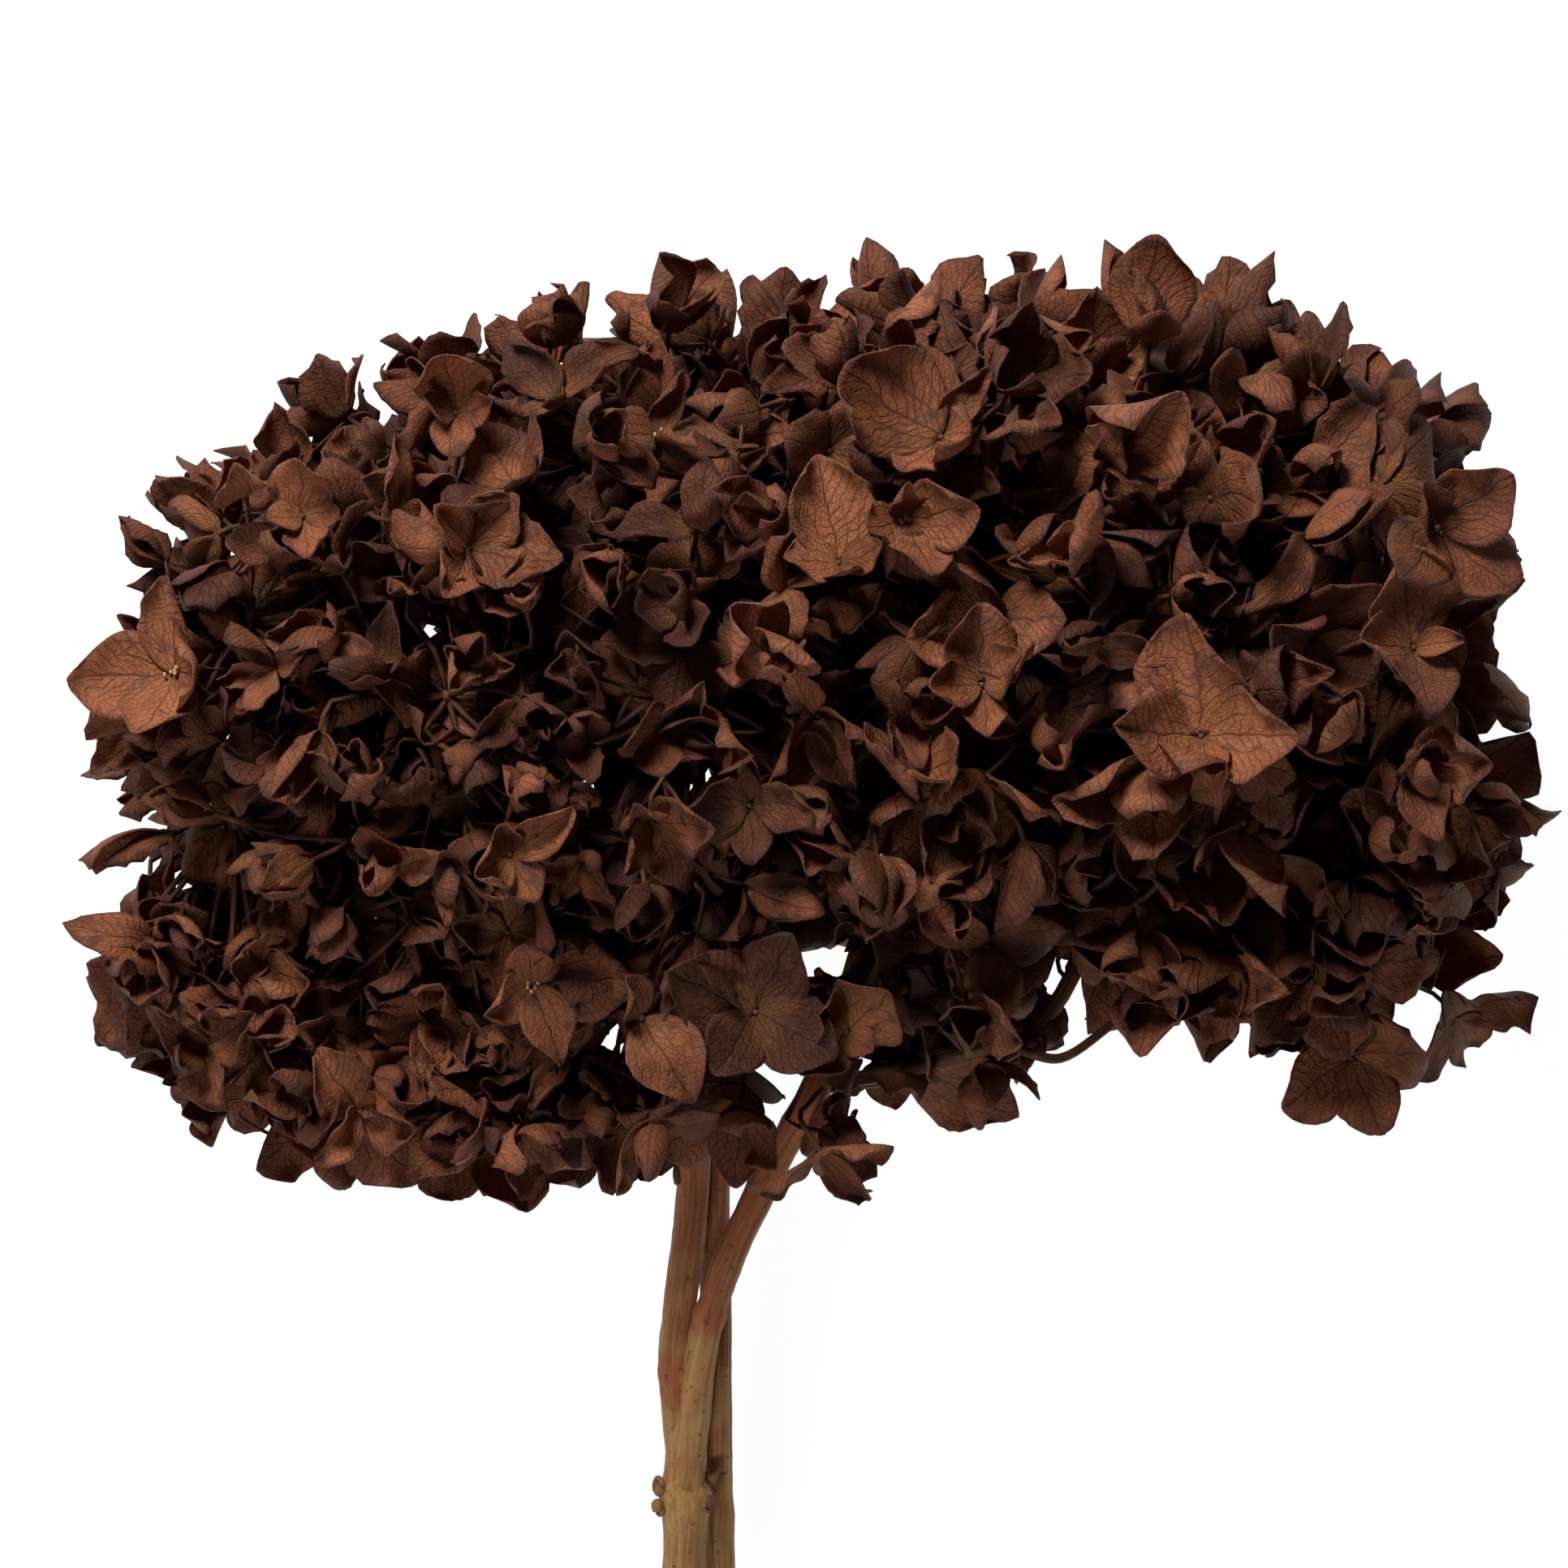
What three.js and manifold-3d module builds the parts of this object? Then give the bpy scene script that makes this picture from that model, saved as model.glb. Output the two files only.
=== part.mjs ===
// A cut hydrangea: three dried flower stems whose mop heads have grown into one wide head.
// It lies on its back on a flat surface. Millimetres, +X across the head, +Y from the cut
// ends towards the head, +Z up. The origin is the bottom centre of the bounding box.
//
// The head is a layer of floret clusters round a hollow. Ten branches rise in the hollow
// from the crowns of the three stems and end under the clusters. Single florets hang below
// the head on their own stalks. A cluster is a plain cushion of the room its florets fill.

import * as THREE from 'three';
import { mergeVertices } from 'three/addons/utils/BufferGeometryUtils.js';
import Module from 'manifold-3d';

const wasm = await Module();
wasm.setup();

// ---- Driving dimensions, in millimetres unless a name says otherwise ----

// The head's outer surface: a rounded box, long in X, pressed flat where it rests.
const HEAD_HALF_WIDTH = 138;
const HEAD_HALF_HEIGHT = 76;
const HEAD_HALF_DEPTH = 76;
const PRESSED_FLAT = 5;
const HEAD_SQUARENESS = 2.6; // exponent of the head's outline from end to end
const SECTION_SQUARENESS = 2.3; // exponent of its cross section
const HEAD_RISE_PER_MM = 0.07; // its long axis climbs this much towards +X
const FLORET_LAYER = 30; // depth of the floret layer, from the petal tips inwards

// Floret clusters: rings round the long axis, and one cap on each end.
const RING_COUNT = 6;
const END_RING_CLUSTERS = 5;
const MIDDLE_RING_CLUSTERS = 7;
const CLUSTER_SPREAD = 37; // half width of a cluster before its neighbours trim it
const CLUSTER_GAP = 0.6;
const END_RING_INSET = 14; // from the centre of an end cap to the outermost ring
const STEM_SLOT_HALF_ANGLE = 38; // degrees from straight down to the first cluster's centre

// Stems: radii, and distances below the foot of the head.
const LEFT_STEM_RADIUS = 3.2;
const RIGHT_STEM_RADIUS = 2.9;
const BACK_STEM_RADIUS = 3.0;
const TRUNK_RADIUS = 4.1;
const KNUCKLE_RADIUS = 5.3; // the swelling where the trunk forks
const BUD_SCAR_RADIUS = 1.7;
const STEM_LENGTH = 192;
const FORK_BELOW_FOOT = 83;
const FOOT_BELOW_HEAD = 2;
const STEM_REACH = 26; // how far the stems run on inside the head, up to their crowns
const CROSSING_RAISED = 5; // the right stem passes this much in front of the left
const STEM_CLEARANCE = 1.2;

// Branches, twigs and floret stalks.
const BRANCH_RADIUS = 1.6;
const CROWN_RADIUS = 2.9 * BRANCH_RADIUS; // a crown has room for four branches side by side
const BRANCH_SPLAY = 1.3; // branches of one crown part this much more than their forks do
const FORK_BELOW_AXIS = 25;
const FORK_APART = 19; // front and back forks lie this far off the head's mid plane
const TWIG_RADIUS = 1.0;
const STALK_RADIUS = 0.75;
const JOINT_GAP = 0.45;

// Hanging florets.
const SEPAL_THICKNESS = 0.8;
const FLORET_HUB_RADIUS = 1.6;
const STALK_BEHIND = 9; // length of the stalk's last stretch, straight behind the floret

// ---- Solids ----

/** A closed three.js geometry as a manifold-3d solid. */
function solidFrom(geometry) {
  const bare = geometry.index ? geometry.toNonIndexed() : geometry.clone();
  bare.deleteAttribute('normal');
  bare.deleteAttribute('uv');
  const merged = mergeVertices(bare, 1e-4);
  return new wasm.Manifold(new wasm.Mesh({
    numProp: 3,
    vertProperties: merged.attributes.position.array,
    triVerts: new Uint32Array(merged.index.array),
  }));
}

/** A manifold-3d solid as a three.js geometry. */
function geometryFrom(solid) {
  const mesh = solid.getMesh();
  const geometry = new THREE.BufferGeometry();
  geometry.setAttribute('position', new THREE.BufferAttribute(mesh.vertProperties, 3));
  geometry.setIndex(new THREE.BufferAttribute(mesh.triVerts, 1));
  return geometry.toNonIndexed();
}

/** Joins several solids into one. */
function joined(solids) {
  return solids.reduce((all, next) => all.add(next));
}

/** The turn that takes +Z to a direction. */
function turnTowards(direction) {
  return new THREE.Quaternion().setFromUnitVectors(new THREE.Vector3(0, 0, 1), direction);
}

/** The half of space on the side that normal points to, past offset from the origin. */
function farSide(normal, offset) {
  const reach = 1500;
  const box = new THREE.BoxGeometry(reach, reach, reach);
  box.translate(0, 0, reach / 2);
  box.applyQuaternion(turnTowards(normal));
  box.translate(normal.x * offset, normal.y * offset, normal.z * offset);
  return solidFrom(box);
}

/** The smooth curve through points that stems, branches and stalks follow. */
function curveThrough(points) {
  return new THREE.CatmullRomCurve3(points, false, 'centripetal');
}

/** A round tube along the curve through points, tapering from one radius to another. */
function tube(points, startRadius, endRadius, sides, steps) {
  const curve = curveThrough(points);
  const section = new THREE.Shape();
  for (let i = 0; i < sides; i += 1) {
    const turn = (2 * Math.PI * i) / sides;
    section[i ? 'lineTo' : 'moveTo'](Math.cos(turn), Math.sin(turn));
  }
  const geometry = new THREE.ExtrudeGeometry(section, { steps, extrudePath: curve });
  const position = geometry.attributes.position;
  const centres = Array.from({ length: steps + 1 }, (_, i) => curve.getPointAt(i / steps));
  const point = new THREE.Vector3();
  for (let i = 0; i < position.count; i += 1) {
    point.fromBufferAttribute(position, i);
    const nearest = centres.reduce((best, centre, at) => (
      centre.distanceToSquared(point) < centres[best].distanceToSquared(point) ? at : best), 0);
    const radius = THREE.MathUtils.lerp(startRadius, endRadius, nearest / steps);
    point.sub(centres[nearest]).multiplyScalar(radius).add(centres[nearest]);
    position.setXYZ(i, point.x, point.y, point.z);
  }
  return solidFrom(geometry);
}

/** A rounded lump, stretched along X, Y and Z and centred at a point. */
function lump(centre, radius, stretch = [1, 1, 1], detail = 1) {
  const geometry = new THREE.IcosahedronGeometry(radius, detail);
  geometry.scale(...stretch);
  geometry.translate(centre.x, centre.y, centre.z);
  return solidFrom(geometry);
}

// ---- The head's outer surface ----

const HEAD_CENTRE_Z = HEAD_HALF_DEPTH - PRESSED_FLAT;

/** How much of its full height and depth the head has at x. */
function headShare(x) {
  const along = Math.min(1, Math.abs(x) / HEAD_HALF_WIDTH);
  return (1 - along ** HEAD_SQUARENESS) ** (1 / HEAD_SQUARENESS);
}

/** The middle of the head's section at x. */
function headAxis(x) {
  return new THREE.Vector3(x, HEAD_RISE_PER_MM * x, HEAD_CENTRE_Z);
}

/** A cosine or sine made squarer, as in a superellipse. */
function squared(value) {
  return Math.sign(value) * Math.abs(value) ** (2 / SECTION_SQUARENESS);
}

/** A point inset below the head's surface, at x and at degrees from the front towards +Y. */
function headPoint(x, degrees, inset) {
  const turn = THREE.MathUtils.degToRad(degrees);
  const share = headShare(x);
  return headAxis(x).add(new THREE.Vector3(
    0,
    (HEAD_HALF_HEIGHT * share - inset) * squared(Math.sin(turn)),
    (HEAD_HALF_DEPTH * share - inset) * squared(Math.cos(turn)),
  ));
}

// ---- Stems ----

const FOOT_Y = -(HEAD_HALF_HEIGHT + FOOT_BELOW_HEAD); // where the stems enter the head
const FOOT_HEIGHT = HEAD_CENTRE_Z + 5;

/** A point on a stem's line, at a distance below the foot and raised from the bundle. */
function stemPoint(x, below, raised = 0) {
  const outside = Math.max(below, 0);
  const height = THREE.MathUtils.mapLinear(outside, 0, STEM_LENGTH, FOOT_HEIGHT, TRUNK_RADIUS);
  return new THREE.Vector3(x, FOOT_Y - below, height + raised);
}

const FORK = stemPoint(-22.6, FORK_BELOW_FOOT);

const TRUNK_LINE = [
  stemPoint(-27.5, STEM_LENGTH),
  stemPoint(-25.5, (FORK_BELOW_FOOT + STEM_LENGTH) / 2),
  FORK,
];
const LEFT_STEM_LINE = [
  FORK,
  stemPoint(-24.4, 59),
  stemPoint(-23.6, 46),
  stemPoint(-21.2, 27),
  stemPoint(-21, 0),
  stemPoint(-25, -STEM_REACH),
];
const RIGHT_STEM_LINE = [
  FORK,
  stemPoint(-20.6, 64, CROSSING_RAISED),
  stemPoint(-18, 48, CROSSING_RAISED),
  stemPoint(-13.6, 35, CROSSING_RAISED),
  stemPoint(-5, 17, CROSSING_RAISED),
  stemPoint(4, 0, CROSSING_RAISED),
  stemPoint(13, -STEM_REACH, CROSSING_RAISED / 2),
];
const KNUCKLE_LINE = [
  stemPoint(FORK.x, FORK_BELOW_FOOT + KNUCKLE_RADIUS),
  FORK,
  stemPoint(FORK.x, FORK_BELOW_FOOT - KNUCKLE_RADIUS),
];

// What the back stem has to lie behind, each as a line and its largest radius.
const IN_FRONT = [
  { line: TRUNK_LINE, radius: TRUNK_RADIUS },
  { line: LEFT_STEM_LINE, radius: LEFT_STEM_RADIUS * 1.05 },
  { line: RIGHT_STEM_LINE, radius: RIGHT_STEM_RADIUS * 1.1 },
  { line: KNUCKLE_LINE, radius: KNUCKLE_RADIUS },
];

/** A point on the back stem at x: as high as it can be and clear of every stem in front. */
function backStemPoint(x, below) {
  const free = stemPoint(x, below);
  IN_FRONT.forEach(({ line, radius }) => {
    const apart = radius + BACK_STEM_RADIUS + STEM_CLEARANCE;
    curveThrough(line).getPoints(40).forEach((other) => {
      const across = Math.hypot(other.x - x, other.y - free.y);
      if (across < apart) {
        free.z = Math.min(free.z, other.z - Math.sqrt(apart ** 2 - across ** 2));
      }
    });
  });
  return free;
}

const BACK_STEM_LINE = [
  stemPoint(-15, STEM_LENGTH - 3, BACK_STEM_RADIUS - TRUNK_RADIUS),
  backStemPoint(-15.5, (FORK_BELOW_FOOT + STEM_LENGTH) / 2),
  backStemPoint(-16.6, FORK_BELOW_FOOT),
  backStemPoint(-16.6, 62),
  backStemPoint(-16.8, 40),
  backStemPoint(-17, 20),
  backStemPoint(-15, 0),
  stemPoint(-9, -STEM_REACH, -15),
];

/** The crown on top of a stem: a low swelling that its branches start from. */
function crown(line) {
  return lump(line.at(-1), CROWN_RADIUS, [1, 0.8, 1]);
}

function forkedStem() {
  const scars = [-1, 1].map((side) => lump(
    FORK.clone().add(new THREE.Vector3(side * KNUCKLE_RADIUS * 0.92, side * -1.5, 1)),
    BUD_SCAR_RADIUS,
  ));
  return joined([
    tube(TRUNK_LINE, TRUNK_RADIUS, TRUNK_RADIUS * 0.97, 10, 5),
    tube(LEFT_STEM_LINE, LEFT_STEM_RADIUS * 1.05, LEFT_STEM_RADIUS, 10, 9),
    tube(RIGHT_STEM_LINE, RIGHT_STEM_RADIUS * 1.1, RIGHT_STEM_RADIUS, 10, 12),
    crown(LEFT_STEM_LINE),
    crown(RIGHT_STEM_LINE),
    lump(FORK, KNUCKLE_RADIUS, [0.95, 1.15, 0.9]),
    ...scars,
  ]);
}

function backStem() {
  return joined([
    tube(BACK_STEM_LINE, BACK_STEM_RADIUS, BACK_STEM_RADIUS, 10, 16),
    crown(BACK_STEM_LINE),
  ]);
}

// ---- Floret clusters ----

const CLUSTER_DEPTH = FLORET_LAYER / 2; // half depth: the surface is that far from the centre
const CAP_X = HEAD_HALF_WIDTH - CLUSTER_DEPTH;
const RING_PITCH = (2 * (CAP_X - END_RING_INSET)) / (RING_COUNT - 1);
const STEM_SLOT_FRONT = FOOT_HEIGHT + CROSSING_RAISED + CROWN_RADIUS;
const STEM_SLOT_BACK = BACK_STEM_LINE.at(-1).z - CROWN_RADIUS;

/** The X of a ring of clusters. */
function ringX(ring) {
  return (ring - (RING_COUNT - 1) / 2) * RING_PITCH;
}

function isEndRing(ring) {
  return ring === 0 || ring === RING_COUNT - 1;
}

/** The clusters of one ring: name, centre, outward direction and place at the stem slot. */
function ringClusters(ring) {
  const x = ringX(ring);
  const count = isEndRing(ring) ? END_RING_CLUSTERS : MIDDLE_RING_CLUSTERS;
  const slotAngle = isEndRing(ring) ? 180 / count : STEM_SLOT_HALF_ANGLE;
  const pitch = (360 - 2 * slotAngle) / (count - 1);
  const inside = headAxis(x * 0.72); // the end rings face a little sideways
  return Array.from({ length: count }, (_, k) => {
    const centre = headPoint(x, k * pitch + slotAngle - 90, CLUSTER_DEPTH);
    return {
      name: `ring_${ring + 1}_florets_${k + 1}`,
      ring,
      centre,
      outward: centre.clone().sub(inside).normalize(),
      front: centre.z > HEAD_CENTRE_Z + 1,
      atSlot: !isEndRing(ring) && (k === 0 || k === count - 1),
    };
  });
}

/** The cluster that caps one end of the head. */
function endCluster(side) {
  return {
    name: side < 0 ? 'left_end_florets' : 'right_end_florets',
    ring: side < 0 ? 0 : RING_COUNT - 1,
    centre: headAxis(side * CAP_X),
    outward: new THREE.Vector3(side, 0, 0),
    front: true,
    atSlot: false,
  };
}

const CLUSTERS = [
  ...Array.from({ length: RING_COUNT }, (_, ring) => ringClusters(ring)).flat(),
  endCluster(-1),
  endCluster(1),
];

/** The flat sides that trim a cluster, each as a unit normal and an offset from its centre. */
function clusterSides(place) {
  const sides = CLUSTERS.filter((other) => other !== place).map((other) => {
    const across = other.centre.clone().sub(place.centre);
    return { normal: across.clone().normalize(), offset: (across.length() - CLUSTER_GAP) / 2 };
  });
  sides.push({ normal: new THREE.Vector3(0, 0, -1), offset: place.centre.z });
  if (place.atSlot) {
    const edge = place.front ? STEM_SLOT_FRONT + JOINT_GAP : STEM_SLOT_BACK - JOINT_GAP;
    sides.push({
      normal: new THREE.Vector3(0, 0, place.front ? -1 : 1),
      offset: Math.abs(edge - place.centre.z),
    });
  }
  return sides.filter((side) => side.offset < CLUSTER_SPREAD);
}

function cluster(place) {
  const cushion = new THREE.IcosahedronGeometry(1, 1);
  cushion.scale(CLUSTER_SPREAD, CLUSTER_SPREAD, CLUSTER_DEPTH);
  cushion.applyQuaternion(turnTowards(place.outward));
  cushion.translate(place.centre.x, place.centre.y, place.centre.z);
  return clusterSides(place).reduce((solid, { normal, offset }) => (
    solid.subtract(farSide(normal, normal.dot(place.centre) + offset))), solidFrom(cushion));
}

/** Where a straight line from a cluster's centre leaves the cluster, towards a target. */
function clusterExit(place, target) {
  const way = target.clone().sub(place.centre).normalize();
  const out = way.dot(place.outward);
  const across = Math.sqrt(Math.max(0, 1 - out * out));
  const free = 1 / Math.hypot(out / CLUSTER_DEPTH, across / CLUSTER_SPREAD);
  const reach = clusterSides(place).reduce((least, { normal, offset }) => {
    const slope = way.dot(normal);
    return slope > 0 ? Math.min(least, offset / slope) : least;
  }, free);
  return place.centre.clone().addScaledVector(way, reach);
}

// ---- Branches ----

// Where branches leave a stem: all round its crown, and to one side below the head.
const CROWNS = {
  left: LEFT_STEM_LINE.at(-1),
  right: RIGHT_STEM_LINE.at(-1),
  back: BACK_STEM_LINE.at(-1),
};
const SIDE_SHOOTS = {
  left: { line: LEFT_STEM_LINE, radius: LEFT_STEM_RADIUS * 1.05, below: 4 },
  right: { line: RIGHT_STEM_LINE, radius: RIGHT_STEM_RADIUS * 1.1, below: 3 },
};

/**
 * Where a shoot with a flat end starts on its way out of a round stem, just clear of it.
 * The stem follows the curve with its own radius, and the shoot leaves at a share of it.
 */
function shootStart(curve, share, stemRadius, shootRadius, way) {
  const slant = Math.abs(curve.getTangentAt(share).dot(way));
  const away = (stemRadius + JOINT_GAP + shootRadius * slant) / Math.sqrt(1 - slant ** 2);
  return curve.getPointAt(share).addScaledVector(way, away);
}

/** How far along a stem's curve it is a given distance below the foot, as a share. */
function shareBelowFoot(curve, below) {
  const miss = (share) => Math.abs(curve.getPointAt(share).y - (FOOT_Y - below));
  const shares = Array.from({ length: 201 }, (_, i) => i / 200);
  return shares.reduce((best, next) => (miss(next) < miss(best) ? next : best));
}

/** The branch of an end ring: a side shoot that keeps low before it turns into the head. */
function sideBranch(ring, stem) {
  const { line, radius, below } = SIDE_SHOOTS[stem];
  const curve = curveThrough(line);
  const way = new THREE.Vector3(Math.sign(ringX(ring)), 0.2, 0).normalize();
  return {
    name: `ring_${ring + 1}_branch`,
    start: shootStart(curve, shareBelowFoot(curve, below), radius, BRANCH_RADIUS, way),
    way,
    fork: headAxis(ringX(ring) * 0.62).add(new THREE.Vector3(0, -FORK_BELOW_AXIS, 3)),
    clusters: CLUSTERS.filter((place) => place.ring === ring),
  };
}

/** The branch from a crown to the front or back half of a middle ring. */
function crownBranch(ring, stem, front) {
  const apart = front ? FORK_APART : -FORK_APART;
  const fork = headAxis(ringX(ring) * 0.9).add(new THREE.Vector3(0, -FORK_BELOW_AXIS, 3 + apart));
  const way = fork.clone().sub(CROWNS[stem]);
  way.z *= BRANCH_SPLAY;
  way.normalize();
  return {
    name: `ring_${ring + 1}_${front ? 'front' : 'back'}_branch`,
    start: CROWNS[stem].clone().addScaledVector(way, CROWN_RADIUS + JOINT_GAP),
    way,
    fork,
    clusters: CLUSTERS.filter((place) => place.ring === ring && place.front === front),
  };
}

const BRANCHES = [
  sideBranch(0, 'left'),
  ...['left', 'back', 'back', 'right'].flatMap((stem, at) => [
    crownBranch(at + 1, stem, true),
    crownBranch(at + 1, stem, false),
  ]),
  sideBranch(RING_COUNT - 1, 'right'),
];

/** The line of a branch from its stem to its fork. */
function branchLine({ start, way, fork }) {
  const reach = start.distanceTo(fork);
  return [start, start.clone().addScaledVector(way, reach * 0.42), fork];
}

function branch(plan) {
  const twigs = plan.clusters.map((place) => {
    const tip = clusterExit(place, plan.fork);
    const way = plan.fork.clone().sub(tip).normalize();
    tip.addScaledVector(way, JOINT_GAP + TWIG_RADIUS * 0.8);
    return tube([plan.fork, tip], TWIG_RADIUS * 1.2, TWIG_RADIUS, 5, 1);
  });
  return joined([
    tube(branchLine(plan), BRANCH_RADIUS, BRANCH_RADIUS * 0.85, 6, 5),
    lump(plan.fork, BRANCH_RADIUS * 1.4),
    ...twigs,
  ]);
}

// ---- Hanging florets ----

/**
 * A floret that hangs from the side branch of an end ring, a share of the way along it.
 * Its place is a share of the head's half width, a distance below the head's underside
 * there, and a height above the head's mid plane.
 */
function hanging(name, ring, share, place, faces, sepalLength) {
  const [across, below, height] = place;
  const x = across * HEAD_HALF_WIDTH;
  const centre = headAxis(x);
  centre.y -= HEAD_HALF_HEIGHT * headShare(x) + below;
  centre.z += height;
  const facing = new THREE.Vector3(...faces).normalize();
  return { name, carrier: `ring_${ring}_branch`, share, centre, facing, sepalLength };
}

const HANGING_FLORETS = [
  hanging('far_left_floret', 1, 0.56, [-0.81, 21.5, -9], [-0.35, -0.3, 0.9], 13),
  hanging('left_floret', 1, 0.48, [-0.64, 14, -5], [0.1, -0.45, 0.9], 18),
  hanging('near_left_floret', 1, 0.34, [-0.43, 13.5, 1], [0.1, -0.3, 0.95], 17),
  hanging('stem_left_floret', 1, 0.12, [-0.21, 16.5, 23], [-0.2, -0.75, 0.6], 16),
  hanging('stem_right_floret', RING_COUNT, 0.06, [0.02, 20, 28], [0.1, -0.8, 0.55], 17),
  hanging('near_right_floret', RING_COUNT, 0.33, [0.28, 17.5, 17], [0.3, -0.8, 0.5], 16),
  hanging('right_floret', RING_COUNT, 0.55, [0.75, 23.5, 3], [0.15, -0.35, 0.92], 19),
  hanging('far_right_floret', RING_COUNT, 0.66, [0.9, 33, -9], [0.55, -0.6, 0.6], 15),
];

/** One sepal in the XY plane with its narrow end at the origin, cupped towards +Z. */
function sepal(length) {
  const half = length * 0.41;
  const cup = length * 0.22;
  const outline = new THREE.Shape();
  outline.moveTo(-half * 0.17, 0);
  outline.lineTo(-half * 0.85, length * 0.42);
  outline.lineTo(-half, length * 0.7);
  outline.lineTo(-half * 0.45, length * 0.96);
  outline.lineTo(half * 0.45, length * 0.96);
  outline.lineTo(half, length * 0.7);
  outline.lineTo(half * 0.85, length * 0.42);
  outline.lineTo(half * 0.17, 0);
  const geometry = new THREE.ExtrudeGeometry(outline, {
    depth: SEPAL_THICKNESS,
    bevelEnabled: false,
  });
  const position = geometry.attributes.position;
  for (let i = 0; i < position.count; i += 1) {
    const along = position.getY(i) / length;
    const aside = position.getX(i) / half;
    position.setZ(i, position.getZ(i) + cup * (along ** 2 + 0.35 * aside ** 2));
  }
  return geometry;
}

/** A floret: two crossed pairs of sepals on a hub, and the stalk back to its branch. */
function hangingFloret({ carrier, share, centre, facing, sepalLength }) {
  const sepals = [0, 1, 2, 3].map((k) => {
    const inner = k % 2; // one pair lies a little above the other and is smaller
    const geometry = sepal(sepalLength * (inner ? 0.9 : 1));
    geometry.translate(0, FLORET_HUB_RADIUS * 0.4, inner * SEPAL_THICKNESS * 0.7);
    geometry.rotateZ((k * Math.PI) / 2 + 0.3);
    geometry.applyQuaternion(turnTowards(facing));
    geometry.translate(centre.x, centre.y, centre.z);
    return solidFrom(geometry);
  });
  const plan = BRANCHES.find(({ name }) => name === carrier);
  const curve = curveThrough(branchLine(plan));
  const behind = centre.clone().addScaledVector(facing, -STALK_BEHIND);
  const way = behind.clone().sub(curve.getPointAt(share)).normalize();
  const anchor = shootStart(curve, share, BRANCH_RADIUS, STALK_RADIUS * 1.1, way);
  return joined([
    ...sepals,
    lump(centre, FLORET_HUB_RADIUS, [1, 1, 1], 0),
    tube([anchor, behind, centre], STALK_RADIUS * 1.1, STALK_RADIUS, 5, 5),
  ]);
}

// ---- Assembly ----

const DRIED_STEM = { color: 0x6e4a31, roughness: 0.75, metalness: 0 };
const DRIED_BRANCH = { color: 0x4a2d1f, roughness: 0.8, metalness: 0 };
const DRIED_SEPALS = { color: 0x5b3222, roughness: 0.7, metalness: 0 };

/** A named mesh of a solid, with its own material. */
function part(name, solid, look) {
  const mesh = new THREE.Mesh(geometryFrom(solid), new THREE.MeshStandardMaterial(look));
  mesh.geometry.computeVertexNormals();
  mesh.name = name;
  return mesh;
}

const flower = new THREE.Group();
flower.add(part('forked_stem', forkedStem(), DRIED_STEM));
flower.add(part('back_stem', backStem(), DRIED_STEM));
BRANCHES.forEach((plan) => flower.add(part(plan.name, branch(plan), DRIED_BRANCH)));
CLUSTERS.forEach((place) => flower.add(part(place.name, cluster(place), DRIED_SEPALS)));
HANGING_FLORETS.forEach((floret) => {
  flower.add(part(floret.name, hangingFloret(floret), DRIED_SEPALS));
});

// The origin goes to the bottom centre of the bounding box.
const bounds = new THREE.Box3().setFromObject(flower);
const centre = bounds.getCenter(new THREE.Vector3());
flower.position.set(-centre.x, -centre.y, -bounds.min.z);

export default flower;
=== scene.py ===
"""The looks of a cut, dried hydrangea that lies on its back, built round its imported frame.

Metres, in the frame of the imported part: +X across the head, +Y from the cut ends of the
stems towards the head, +Z up from the surface that the flower lies on. Tables of places
are in millimetres from the middle of the head, and HeadForm.place turns them into metres.
"""

import logging
import math
import random
from dataclasses import dataclass, field
from enum import Enum
from typing import Callable, Iterable, Sequence

import bmesh
import bpy
import numpy as np
from mathutils import Matrix, Vector, noise


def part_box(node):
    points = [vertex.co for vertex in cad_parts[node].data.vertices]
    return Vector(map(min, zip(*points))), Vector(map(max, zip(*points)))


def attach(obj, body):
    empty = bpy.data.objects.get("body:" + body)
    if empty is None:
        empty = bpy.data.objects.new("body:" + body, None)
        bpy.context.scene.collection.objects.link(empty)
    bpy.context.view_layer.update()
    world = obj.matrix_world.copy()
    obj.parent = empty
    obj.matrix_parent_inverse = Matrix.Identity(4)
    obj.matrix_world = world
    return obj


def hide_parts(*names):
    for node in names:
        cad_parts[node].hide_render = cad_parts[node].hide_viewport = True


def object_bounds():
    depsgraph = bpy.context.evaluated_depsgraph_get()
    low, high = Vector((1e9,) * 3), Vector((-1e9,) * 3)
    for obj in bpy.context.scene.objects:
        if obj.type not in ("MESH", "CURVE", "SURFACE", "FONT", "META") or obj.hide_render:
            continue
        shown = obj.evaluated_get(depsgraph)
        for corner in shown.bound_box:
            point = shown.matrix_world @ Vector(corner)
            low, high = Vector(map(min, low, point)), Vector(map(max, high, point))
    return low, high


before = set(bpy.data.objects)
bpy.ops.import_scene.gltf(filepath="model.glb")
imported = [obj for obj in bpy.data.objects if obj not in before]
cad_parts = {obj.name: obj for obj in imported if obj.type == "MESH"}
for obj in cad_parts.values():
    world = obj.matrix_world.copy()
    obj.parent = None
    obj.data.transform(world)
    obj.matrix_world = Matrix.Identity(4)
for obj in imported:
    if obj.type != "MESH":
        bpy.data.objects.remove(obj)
CAD_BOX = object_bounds()

LOG = logging.getLogger("hydrangea")
MM = 0.001
UP = Vector((0.0, 0.0, 1.0))
Colour = tuple[float, float, float, float]
Table = tuple[tuple[float, ...], ...]


# ---- Node work ----


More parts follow.
